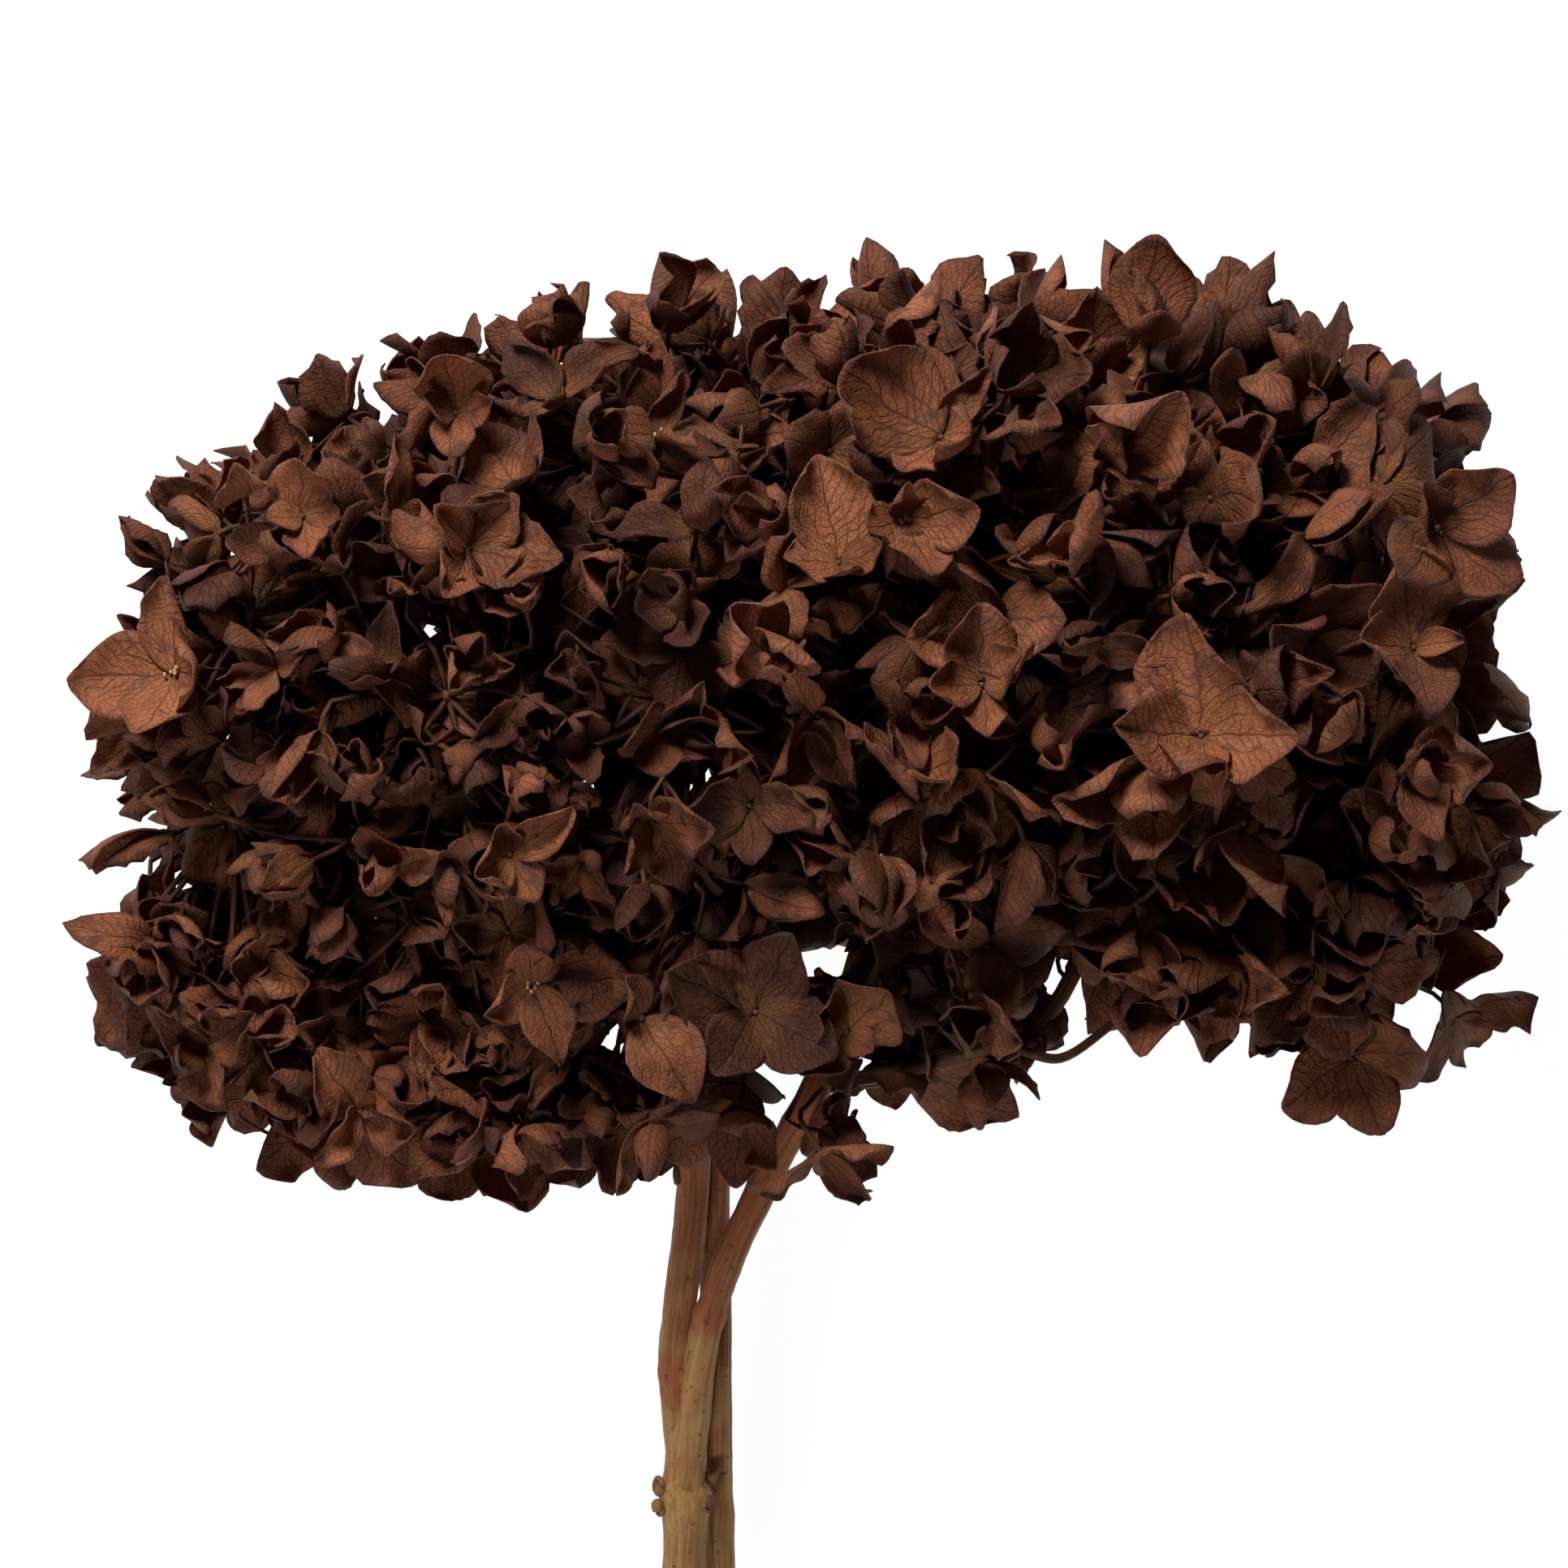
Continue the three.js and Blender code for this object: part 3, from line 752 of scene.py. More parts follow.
def new_mesh() -> bmesh.types.BMesh:
    """Starts a bmesh with the layers that the finishes read."""
    mesh = bmesh.new()
    mesh.loops.layers.uv.new("sepal")
    mesh.verts.layers.float_vector.new("bark")
    for name in ("cut", "scar", "tone", "seed", "tip"):
        mesh.verts.layers.float.new(name)
    return mesh


def lump(mesh: bmesh.types.BMesh, centre: Vector, radius: float,
         stretch: Sequence[float] = (1.0, 1.0, 1.0), detail: int = 1,
         tip: float = 0.0) -> list[bmesh.types.BMVert]:
    """Adds a rounded lump.

    Args:
        mesh: The bmesh that it is added to.
        centre: Its middle.
        radius: Its radius before it is stretched.
        stretch: How much it is stretched along X, Y and Z.
        detail: How often its faces are divided.
        tip: Its tip mark, from 0 for a dark bud to 1 for a golden tip.

    Returns:
        Its vertices.
    """
    matrix = Matrix.Translation(centre) @ Matrix.Diagonal((*stretch, 1.0))
    made = bmesh.ops.create_icosphere(mesh, subdivisions=detail, radius=radius,
                                      matrix=matrix)["verts"]
    layer, bark = mesh.verts.layers.float["tip"], mesh.verts.layers.float_vector["bark"]
    for vert in made:
        vert[layer] = tip
        offset = vert.co - centre
        vert[bark] = Vector((offset.x, offset.z, vert.co.y))
    return made


def finish_piece(mesh: bmesh.types.BMesh, name: str,
                 materials: Iterable[bpy.types.Material], replaced: Sequence[str] = ()
                 ) -> bpy.types.Object:
    """Makes a finished piece from a bmesh and sets it on the flower.

    Args:
        mesh: The bmesh, which is freed.
        name: The piece's name.
        materials: Its materials, in the order of its faces' indices.
        replaced: The CAD nodes that it stands for.

    Returns:
        The new piece.
    """
    data = bpy.data.meshes.new(name)
    put_in_order(mesh)
    mesh.to_mesh(data)
    mesh.free()
    data.shade_smooth()
    for material in materials:
        data.materials.append(material)
    piece = bpy.data.objects.new(name, data)
    bpy.context.scene.collection.objects.link(piece)
    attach(piece, "root")
    if replaced:
        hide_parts(*replaced)
    LOG.info("%s: %d faces", name, len(data.polygons))
    return piece


# ---- Stems ----


@dataclass
class Stems:
    """The forked stem, with its trunk, knuckle and two arms, and the stem behind it.

    Attributes:
        head: The head that they carry.
        sides: Sides of a stem's section.
        trunk_radius: Radius of the trunk.
        left_radius: Radius of the left arm.
        right_radius: Radius of the right arm.
        back_radius: Radius of the stem behind.
        knuckle_radius: Radius of the swelling where the trunk forks.
        crown_radius: Radius of the swelling at the top of each stem.
        left_scar: The dark scar on the left arm, in millimetres from the head's middle.
        scars: Rims of fallen buds: place from the fork and radius in millimetres, and lean.
        trunk: What the trunk's line passes through, in millimetres from the head's middle.
        left: The same for the left arm.
        right: The same for the right arm.
        back: The same for the stem behind.
    """

    head: HeadForm
    sides: int = 28
    trunk_radius: float = 0.0041
    left_radius: float = 0.0032
    right_radius: float = 0.0029
    back_radius: float = 0.0030
    knuckle_radius: float = 0.0053
    crown_radius: float = 0.0046
    left_scar: tuple[float, float, float] = (-23.9, -98, 70)
    scars: Table = ((-5.3, 1.9, 2.0, 1.35, -0.9), (-5.0, -2.4, 1.6, 1.15, -1.0),
                    (4.4, -1.4, 2.6, 1.3, 0.8))
    trunk: Table = ((-27.5, -270, 4.1), (-25.5, -215.5, 24.5), (-22.6, -161, 44.9))
    left: Table = ((-24.4, -137, 53.9), (-23.6, -124, 58.8), (-21.2, -105, 65.9),
                   (-21, -78, 76), (-25, -52, 76))
    right: Table = ((-22.6, -161, 44.9), (-20.6, -142, 57), (-18, -126, 63),
                    (-13.6, -113, 67.9), (-5, -95, 74.6), (4, -78, 81), (13, -52, 78.5))
    back: Table = ((-15, -267, 4.1), (-15.5, -215.5, 24.5), (-16.6, -161, 37.1),
                   (-16.6, -140, 51.3), (-16.8, -118, 56.5), (-17, -98, 62),
                   (-15, -78, 71.4), (-9, -52, 61))

    def route(self, points: Sequence[Sequence[float]]) -> list[Vector]:
        """Turns a table of points in millimetres into points in metres."""
        return [self.head.place(*point) for point in points]

    def roughen(self, mesh: bmesh.types.BMesh, height: float) -> None:
        """Moves a stem's surface in and out a little, as dry bark shrinks unevenly."""
        mesh.normal_update()
        for vert in mesh.verts:
            coarse = noise.noise(Vector((vert.co.x * 260, vert.co.y * 60, vert.co.z * 260)))
            fine = noise.noise(Vector((vert.co.x * 900, vert.co.y * 240, vert.co.z * 900)))
            vert.co += vert.normal * height * (coarse + 0.5 * fine)

    def ring_scar(self, mesh: bmesh.types.BMesh, centre: Vector, radius: float,
                  lean: float) -> None:
        """Adds the raised rim that a fallen bud left.

        Args:
            mesh: The bmesh that it is added to.
            centre: Its middle.
            radius: Radius of the rim.
            lean: How far it leans towards the sides, in radians.
        """
        turn = Matrix.Rotation(lean, 3, "Y")
        steps = 14
        rim = [centre + turn @ Vector((radius * math.cos(at * math.tau / steps),
                                       radius * 1.15 * math.sin(at * math.tau / steps), 0.0))
               for at in range(steps + 1)]
        known = len(mesh.verts)
        Sweep(mesh, 8, 0.1).run(rim, lambda walked: radius * 0.36)
        mesh.verts.ensure_lookup_table()
        for vert in mesh.verts[known:]:
            vert[mesh.verts.layers.float["scar"]] = 0.6
        self.withered(mesh, lump(mesh, centre, radius * 0.8, (1.0, 1.1, 0.6), 2), 1.0)

    def withered(self, mesh: bmesh.types.BMesh, verts: Iterable[bmesh.types.BMVert],
                 amount: float) -> None:
        """Marks vertices as withered, and puckers them."""
        for vert in verts:
            vert[mesh.verts.layers.float["scar"]] = amount
            vert.co += Vector((1.0, 1.0, 1.0)) * 0.0003 * noise.noise(vert.co * 1700)

    def knuckle_buds(self, mesh: bmesh.types.BMesh, fork: Vector) -> None:
        """Adds the rims of fallen buds and the withered buds at the knuckle."""
        draw = random.Random(11)
        for x, y, z, radius, lean in self.scars:
            self.ring_scar(mesh, fork + Vector((x, y, z)) * MM, radius * MM, lean)
        for side in (-1, 1):
            base = fork + Vector((side * self.knuckle_radius * 0.9, 0.001, 0.0012))
            for _ in range(3):
                offset = Vector((side * draw.uniform(0.0, 0.0010), draw.uniform(-0.003, 0.003),
                                 draw.uniform(-0.001, 0.0014)))
                bud = lump(mesh, base + offset, draw.uniform(0.0006, 0.0011),
                           (draw.uniform(0.7, 1.2), draw.uniform(0.9, 1.6), 0.8), 2)
                self.withered(mesh, bud, draw.uniform(0.5, 1.0))
        scar = lump(mesh, self.head.place(*self.left_scar), 0.0010, (0.9, 2.2, 1.2), 2)
        self.withered(mesh, scar, 1.0)

    def build(self, finishes: Finishes) -> None:
        """Builds both stems.

        Args:
            finishes: The flower's materials.
        """
        trunk = self.route(self.trunk)
        fork = trunk[-1]
        first_arm = smooth_line([*trunk, *self.route(self.left)], 12)
        to_fork = sum((b - a).length for a, b in zip(first_arm[:24], first_arm[1:25]))

        def trunk_reach(walked: float) -> float:
            """The radius of the trunk and, past the knuckle, of the left arm."""
            past = walked - to_fork
            arm = min(1.0, max(0.0, past / 0.010))
            plain = self.trunk_radius + (self.left_radius - self.trunk_radius) * arm
            swell = (self.knuckle_radius - self.trunk_radius) * math.exp(-(past / 0.005) ** 2)
            collar = 0.0004 * math.exp(-((past - 0.026) / 0.0013) ** 2)
            return plain + swell + collar

        mesh = new_mesh()
        Sweep(mesh, self.sides, 0.045).run(first_arm, trunk_reach, cut_start=True)
        Sweep(mesh, self.sides, 0.05).run(
            smooth_line(self.route(self.right), 10),
            lambda walked: (self.right_radius * (1.0 + 0.35 * math.exp(-walked / 0.012))
                            + 0.00035 * math.exp(-((walked - 0.041) / 0.0013) ** 2)))
        for crown in (self.left[-1], self.right[-1]):
            lump(mesh, self.head.place(*crown), self.crown_radius, (1.0, 0.8, 1.0), 3)
        lump(mesh, fork, self.knuckle_radius, (0.97, 1.1, 0.9), 3)
        self.knuckle_buds(mesh, fork)
        self.roughen(mesh, 0.00035)
        finish_piece(mesh, "forked_stem_bark", [finishes.bark], ["forked_stem"])

        mesh = new_mesh()
        Sweep(mesh, self.sides, 0.05).run(
            smooth_line(self.route(self.back), 10),
            lambda walked: self.back_radius * (1.0 + 0.10 * math.exp(
                -((walked - 0.105) / 0.004) ** 2)), cut_start=True)
        lump(mesh, self.head.place(*self.back[-1]), self.crown_radius, (1.0, 0.8, 1.0), 3)
        self.roughen(mesh, 0.0003)
        finish_piece(mesh, "back_stem_bark", [finishes.bark], ["back_stem"])


# ---- Florets ----


@dataclass(frozen=True)
class SepalShape:
    """How the sepals of one kind of floret are bent.

    Attributes:
        opening: Range of the angle between a sepal and the floret's axis, in degrees.
        bend: Range of its curve along its length, in radians, up towards the axis.
        roll: Range of its curve across its width, in radians.
        width: Range of its width as a share of its length.
        crumple: How far its surface buckles, as a share of its length.
        ripple: How far its edge waves, as a share of its length.
    """

    opening: tuple[float, float]
    bend: tuple[float, float]
    roll: tuple[float, float]
    width: tuple[float, float]
    crumple: float
    ripple: float


class Habit(Enum):
    """The ways that a floret has dried."""

    OPEN = SepalShape((46, 88), (-0.3, 0.8), (0.0, 0.9), (0.80, 1.06), 0.035, 0.045)
    CUPPED = SepalShape((20, 62), (0.1, 1.3), (0.3, 1.3), (0.78, 1.04), 0.035, 0.045)
    CRUMPLED = SepalShape((20, 100), (-1.0, 1.5), (0.6, 2.1), (0.5, 0.86), 0.065, 0.085)
    REFLEXED = SepalShape((85, 118), (-0.8, 0.0), (-0.7, 0.3), (0.75, 0.98), 0.035, 0.045)


@dataclass(frozen=True)
class Floret:
    """One floret: four sepals in two crossed pairs on a thin stalk.

    Attributes:
        centre: Where its sepals meet.
        facing: The direction that it looks in.
        length: Length of its longest sepal.
        habit: How it has dried.
        spin: Direction of its first sepal, in degrees from +X.
        lobes: Size of each sepal as a share of length, and 0 for a fallen one.
        tone: How light it is, from 0 to 1.
        golden: Whether its centre shows pale golden tips.
    """

    centre: Vector
    facing: Vector
    length: float
    habit: Habit
    spin: float
    lobes: tuple[float, float, float, float] = (1.0, 0.92, 1.0, 0.92)
    tone: float = 0.5
    golden: bool = False

    def basis(self) -> Matrix:
        """The floret's own frame: Z is the way that it faces, and X is close to +X."""
        side = Vector((1.0, 0.0, 0.0))
        if abs(self.facing.x) > 0.93:
            side = Vector((0.0, 1.0, 0.0))
        side = (side - self.facing * side.dot(self.facing)).normalized()
        return Matrix((side, self.facing.cross(side), self.facing)).transposed()


@dataclass
class FloretMaker:
    """Builds sepals, centres and stalks into the meshes of one cluster.

    Attributes:
        head: The head's form.
        draw: The seeded source of chance.
        across: Faces across a sepal.
        along: Faces along a sepal.
        thickness: A sepal's thickness.
        stalk_radius: Radius of a floret's stalk.
        stalk_behind: Length of the stalk's last stretch, straight behind the floret.
        floor_gap: The least height of a sepal over the floor.
        floor_spread: How much higher some sepals lie on the floor than others.
        ceiling: The height past which a sepal bends over.
        give: How much of what would pass the floor, and the ceiling, still does.
        stray: The share of loose sepals that have crumpled, whatever their floret did.
        windows: Places that no loose sepal covers: centre across and up, and radius, in
            millimetres from the head's middle.
    """

    head: HeadForm
    draw: random.Random
    across: int = 6
    along: int = 8
    thickness: float = 0.00028
    stalk_radius: float = 0.00048
    stalk_behind: float = 0.007
    floor_gap: float = 0.0004
    floor_spread: float = 0.0012
    ceiling: float = CAD_BOX[1].z + 0.008
    give: tuple[float, float] = (0.04, 0.15)
    stray: float = 0.34
    windows: Table = ((0.2, -52.0, 1.0), (7.8, -57.0, 1.0), (-11.4, -60.0, 1.4),
                      (-21.7, -68.5, 1.6), (-35.4, -73.0, 1.4), (-6.6, -79.0, 1.6),
                      (31.0, -66.8, 1.2), (49.0, -61.0, 1.2))

    def sepal_form(self, grid: np.ndarray, shape: SepalShape, length: float) -> np.ndarray:
        """Bends a flat grid into a dried sepal.

        Args:
            grid: The grid's places, across from -1 to 1 and along from 0 to 1.
            shape: The ranges that its curves are drawn from.
            length: Its length.

        Returns:
            Points in the sepal's own frame: Y along it and Z on its inner side.
        """
        draw = self.draw
        u, v = grid[:, 0], grid[:, 1]
        width = length * draw.uniform(*shape.width)
        taper = draw.uniform(0.85, 0.94)
        half = 0.5 * width * (0.15 + 0.85 * np.sin(math.pi * taper * v ** 0.9) ** 0.75)
        reach = length * (v - 0.42 * math.sin(math.pi * taper) * u ** 2 * v ** 2
                          + 0.09 * draw.uniform(-0.2, 1.4) * (1 - np.abs(u)) * v ** 4)
        roll = draw.uniform(*shape.roll) * (0.35 + 0.65 * v)
        roll = np.where(np.abs(roll) < 0.03, 0.03, roll)
        x = half * np.sin(roll * u) / roll
        z = half * (1 - np.cos(roll * u)) / roll
        phase, waves = draw.uniform(0, 6.3), draw.uniform(1.0, 2.2)
        z = z + length * shape.ripple * draw.uniform(0.3, 1.3) * np.abs(u) ** 1.6 * v * np.sin(
            6.3 * waves * v + phase + np.where(u > 0, 1.7, 0.0))
        for _ in range(2):
            a, b, shift = draw.uniform(1, 4), draw.uniform(2, 6), draw.uniform(0, 6.3)
            z = z + 0.5 * length * shape.crumple * v * np.sin(a * u + b * v + shift)
        z = z + 0.10 * width * draw.uniform(-0.5, 1.6) * np.abs(u) * v
        z = z + width * draw.uniform(-0.18, 0.24) * np.abs(u) ** 3 * v
        x = x + length * 0.16 * draw.uniform(-1, 1) * v ** 2
        ragged = np.array([draw.gauss(0, 1.0) for _ in v]) / len(v)
        x = x + length * ragged * (np.abs(u) > 0.99) * np.sign(u)
        reach = reach + length * ragged * (v > 0.99)
        twist = draw.gauss(0, 0.30) * v
        x, z = x * np.cos(twist) - z * np.sin(twist), x * np.sin(twist) + z * np.cos(twist)
        bend = draw.uniform(*shape.bend)
        bend = 0.02 if abs(bend) < 0.02 else bend
        turn = bend * reach / length * (0.55 + 0.45 * v)
        curve = bend / length * (0.55 + 0.45 * v)
        y = np.sin(turn) / curve - z * np.sin(turn)
        z = (1 - np.cos(turn)) / curve + z * np.cos(turn)
        z = z + 0.20 * length * draw.uniform(-0.6, 1.0) * v ** 3
        return np.stack([x, y, z], axis=1)

    def covers_window(self, points: np.ndarray) -> bool:
        """Whether any of the points lies over a window in the head."""
        for x, y, radius in self.windows:
            over = self.head.place(x, y, 0.0)
            if (np.hypot(points[:, 0] - over.x, points[:, 1] - over.y) < radius * MM).any():
                return True
        return False

    def add_sepals(self, mesh: bmesh.types.BMesh, floret: Floret, loose: bool) -> None:
        """Adds a floret's four sepals.

        Args:
            mesh: The bmesh that they are added to.
            floret: The floret.
            loose: Whether it is one of the many scattered florets, whose sepals are
                coarser and are left out over a window in the head.
        """
        draw = self.draw
        tone_layer = mesh.verts.layers.float["tone"]
        seed_layer = mesh.verts.layers.float["seed"]
        basis = floret.basis()
        for k, lobe in enumerate(floret.lobes):
            if not lobe:
                continue
            shape = floret.habit.value
            if draw.random() < (self.stray if loose else self.stray / 2):
                shape = Habit.CRUMPLED.value
            angle = math.radians(floret.spin + 90 * k + draw.uniform(-1, 1) * (
                18 if loose else 8))
            opening = math.radians(draw.uniform(*shape.opening))
            radial = Vector((math.cos(angle), math.sin(angle), 0.0))
            way = UP * math.cos(opening) + radial * math.sin(opening)
            inner = UP * math.sin(opening) - radial * math.cos(opening)
            turned = np.array(basis @ Matrix((way.cross(inner), way, inner)).transposed())
            base = floret.centre + basis @ (radial * 0.0003 + UP * 0.0005 * (k % 2))
            finer = 1 if loose else 2
            made = bmesh.ops.create_grid(mesh, x_segments=self.across * finer,
                                         y_segments=self.along * finer, size=1.0,
                                         matrix=Matrix.Identity(4), calc_uvs=True)["verts"]
            flat = np.array([vert.co for vert in made])
            grid = np.stack([flat[:, 0], (flat[:, 1] + 1) / 2], axis=1)
            length = floret.length * lobe * draw.uniform(0.92, 1.06)
            points = self.sepal_form(grid, shape, length) @ turned.T + np.array(base)
            floor = self.floor_gap + draw.uniform(0, self.floor_spread)
            low = points[:, 2] < floor
            points[low, 2] = floor + self.give[0] * (floor - points[low, 2])
            high = points[:, 2] > self.ceiling
            points[high, 2] = self.ceiling + self.give[1] * (points[high, 2] - self.ceiling)
            if loose and self.covers_window(points):
                bmesh.ops.delete(mesh, geom=made, context="VERTS")
                continue
            tone = min(1.0, max(0.0, floret.tone + draw.gauss(0, 0.13)))
            seed = draw.uniform(0, 40)
            for vert, point in zip(made, points):
                vert.co = point
                vert[tone_layer] = tone
                vert[seed_layer] = seed

    def add_centre(self, mesh: bmesh.types.BMesh, floret: Floret) -> None:
        """Adds the small dry bud in a floret's middle, with golden tips on some."""
        first = len(mesh.faces)
        lump(mesh, floret.centre + floret.facing * 0.0005, 0.0007)
        if floret.golden:
            for _ in range(6):
                offset = floret.basis() @ Vector((self.draw.uniform(-1.3, 1.3) * MM,
                                                  self.draw.uniform(-1.3, 1.3) * MM,
                                                  self.draw.uniform(0.9, 2.2) * MM))
                lump(mesh, floret.centre + offset, 0.0004, (1.0, 1.4, 1.0), 1, 1.0)
        mesh.faces.ensure_lookup_table()
        for face in mesh.faces[first:]:
            face.material_index = 1

    def add_stalk(self, mesh: bmesh.types.BMesh, start: Vector, floret: Floret) -> None:
        """Adds a floret's stalk.

        Args:
            mesh: The bmesh that it is added to.
            start: Where it leaves its twig.
            floret: The floret that it carries.
        """
        behind = floret.centre - floret.facing * self.stalk_behind
        middle = start.lerp(behind, 0.5) + Vector((self.draw.uniform(-2, 2) * MM,
                                                   self.draw.uniform(-2, 2) * MM,
                                                   self.draw.uniform(-1, 2) * MM))
        line = smooth_line([start, middle, behind, floret.centre], 2)
        for point in line:
            point.z = max(point.z, self.stalk_radius)
        Sweep(mesh, 5).run(line, lambda walked: self.stalk_radius * (1.25 - 6 * walked
                                                                     if walked < 0.04 else 1.0))


    def build(self, node: str, start: Vector, florets: Iterable[tuple[Floret, bool]],
              stalk_name: str, finishes: Finishes) -> None:
        """Builds the sepals of some florets as one piece, and their stalks as another.

        Args:
            node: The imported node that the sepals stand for.
            start: Where the stalks leave their twig.
            florets: The florets, each with whether it is a loose one.
            stalk_name: The second piece's name.
            finishes: The flower's materials.
        """
        petals, stalks = new_mesh(), new_mesh()
        for floret, loose in florets:
            self.add_sepals(petals, floret, loose)
            self.add_stalk(stalks, start, floret)
            self.add_centre(stalks, floret)
        piece = finish_piece(petals, f"{node}_sepals",
                             [finishes.sepals], [node])
        wall = piece.modifiers.new("paper", "SOLIDIFY")
        wall.thickness = self.thickness
        wall.offset = 0.0
        finish_piece(stalks, stalk_name, [finishes.stalks, finishes.centres])


@dataclass
class Cluster:
    """The florets that fill one packed cluster.

    Attributes:
        node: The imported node's name.
        centre: The middle of its box.
        florets: Its florets, each with whether it is a loose one.
    """

    node: str
    centre: Vector
    florets: list[tuple[Floret, bool]] = field(default_factory=list)

    def twig_end(self, head: HeadForm) -> Vector:
        """Where the stalks of its florets meet, inside the head."""
        inside = Vector((head.middle.x + (self.centre.x - head.middle.x) * 0.82,
                         head.middle.y, head.middle.z))
        return self.centre + (inside - self.centre).normalized() * 0.016


# One row for each floret that has its own place: across, up the head and how far it is sunk
# below the head's front, in millimetres, then the way it faces, sepal length, habit, spin,
# the size of its four sepals and its tone.
PLACED_FLORETS = (
    (-116, -3.8, -1, (-0.40, 0.05, 0.9), 18, Habit.OPEN, 176, (1.05, 0.8, 0.8, 0.98), 0.80),
    (-38, 39, 2, (0.2, 0.1, 1), 15, Habit.CUPPED, 140, (1.05, 0.9, 0.9, 0.8), 0.60),
    (-5, -2.3, 0, (0.0, 0.25, 1), 17, Habit.CUPPED, 48, (1.08, 1.0, 0.5, 0.8), 0.75),
    (72.3, -15.4, 0, (0.0, 0.15, 1), 19, Habit.OPEN, 5, (1.05, 1.05, 0.85, 0.5), 0.78),
    (55.4, 35.4, 1, (0.2, 0.35, 1), 18, Habit.CUPPED, 45, (1.1, 0.6, 0.7, 0.6), 0.60),
    (25, 39, 0, (-0.2, 0.3, 1), 19, Habit.OPEN, 50, (0.75, 1.15, 0.6, 0.7), 0.62),
    (-53.8, -37, 0, (0.2, 0.0, 1), 16, Habit.OPEN, 35, (1.0, 0.5, 0.95, 0.6), 0.74),
    (6.2, 16, 0, (0.1, 0.3, 1), 16, Habit.OPEN, 95, (1.08, 0.6, 0.6, 0.7), 0.80),
    (18, 24, 1, (0.35, 0.1, 1), 15, Habit.OPEN, 20, (1.0, 0.6, 0.7, 0.95), 0.66),
    (47.7, 17, 1, (0.0, 0.4, 1), 18, Habit.CUPPED, 8, (1.12, 0.5, 0.6, 0.5), 0.80),
    (32.3, -6, 2, (0.0, 0.2, 1), 15, Habit.OPEN, 100, (1.0, 0.8, 0.7, 0.8), 0.70),
    (64, 58, 4, (0.1, 0.75, 0.6), 17, Habit.CUPPED, 88, (1.12, 0.9, 0.8, 0.9), 0.55),
    (116, 23, -3, (0.4, 0.1, 0.9), 18, Habit.OPEN, -42, (1.05, 0.95, 0.7, 0.9), 0.50),
    (112, 1, -1, (0.25, 0.2, 1), 18, Habit.OPEN, 98, (1.05, 0.7, 0.8, 0.6), 0.78),
    (112, -22, 1, (0.3, 0.0, 0.9), 17, Habit.CUPPED, 22, (1.1, 0.7, 0.7, 0.8), 0.55),
    (108, -33, 5, (0.35, -0.2, 0.8), 18, Habit.REFLEXED, 0, (1.1, 0.7, 0.7, 0.8), 0.58),
    (-50, -61, 3, (0.2, -0.2, 1), 17, Habit.OPEN, 12, (1.05, 0.6, 0.7, 0.85), 0.80),
    (-30, -67, -6, (0.2, -0.1, 1), 15, Habit.OPEN, -55, (1.05, 0.0, 0.6, 0.0), 0.62),
    (8, -70, -6, (0.0, -0.1, 1), 16, Habit.OPEN, 50, (1.05, 0.8, 0.7, 0.5), 0.48),
    (-9, -66, -2, (0.1, -0.3, 1), 17, Habit.OPEN, 60, (1.0, 1.1, 0.8, 1.0), 0.10),
    (-12, -85, -22, (-0.1, -0.85, 0.5), 18, Habit.OPEN, 176, (1.1, 0.7, 0.8, 0.6), 0.48),
    (-16, -80, -14, (0.1, -0.7, 0.7), 16, Habit.OPEN, 200, (1.0, 0.8, 0.9, 0.8), 0.30),
    (3, -89, -26, (0.9, -0.3, 0.35), 16, Habit.CUPPED, -92, (1.05, 0.5, 0.6, 0.5), 0.50),
    (8, -82, -22, (-0.6, -0.5, 0.5), 15, Habit.CRUMPLED, -100, (1.05, 0.5, 0.6, 0.5), 0.42),
    (17, -76, -16, (0.1, -0.85, 0.45), 20, Habit.OPEN, -6, (1.15, 0.6, 0.5, 0.6), 0.46),
    (30, -66, -2, (0.0, -0.5, 0.8), 16, Habit.CUPPED, 10, (1.0, 0.7, 0.8, 0.7), 0.36),
    (118, -58, -2, (0.5, 0.1, 0.8), 17, Habit.OPEN, -8, (1.15, 0.0, 0.3, 0.0), 0.60),
    (-58.5, -86, -6, (0.05, 0.0, 1), 15, Habit.OPEN, -25, (1.0, 0.9, 0.9, 0.7), 0.58),
    (-92, -83, -2, (0.1, 0.0, 1), 16, Habit.OPEN, 0, (1.05, 0.7, 0.9, 0.95), 0.70),
    (-92, 25, 1, (0.0, 0.3, 1), 14, Habit.OPEN, 100, (1.0, 0.5, 0.6, 0.5), 0.80),
    (-104, 30, 2, (-0.1, 0.3, 1), 15, Habit.CUPPED, -50, (1.05, 0.5, 0.6, 0.5), 0.74),
    (-64, 44, 1, (0.0, 0.3, 1), 14, Habit.OPEN, 85, (1.0, 0.6, 0.7, 0.6), 0.78),
    (-47, 57, 8, (0.0, 0.8, 0.6), 15, Habit.CUPPED, 90, (1.05, 0.8, 0.9, 0.8), 0.58),
    (-25, 60, 8, (0.1, 0.8, 0.6), 16, Habit.CUPPED, 60, (1.05, 0.9, 0.9, 0.8), 0.55),
)


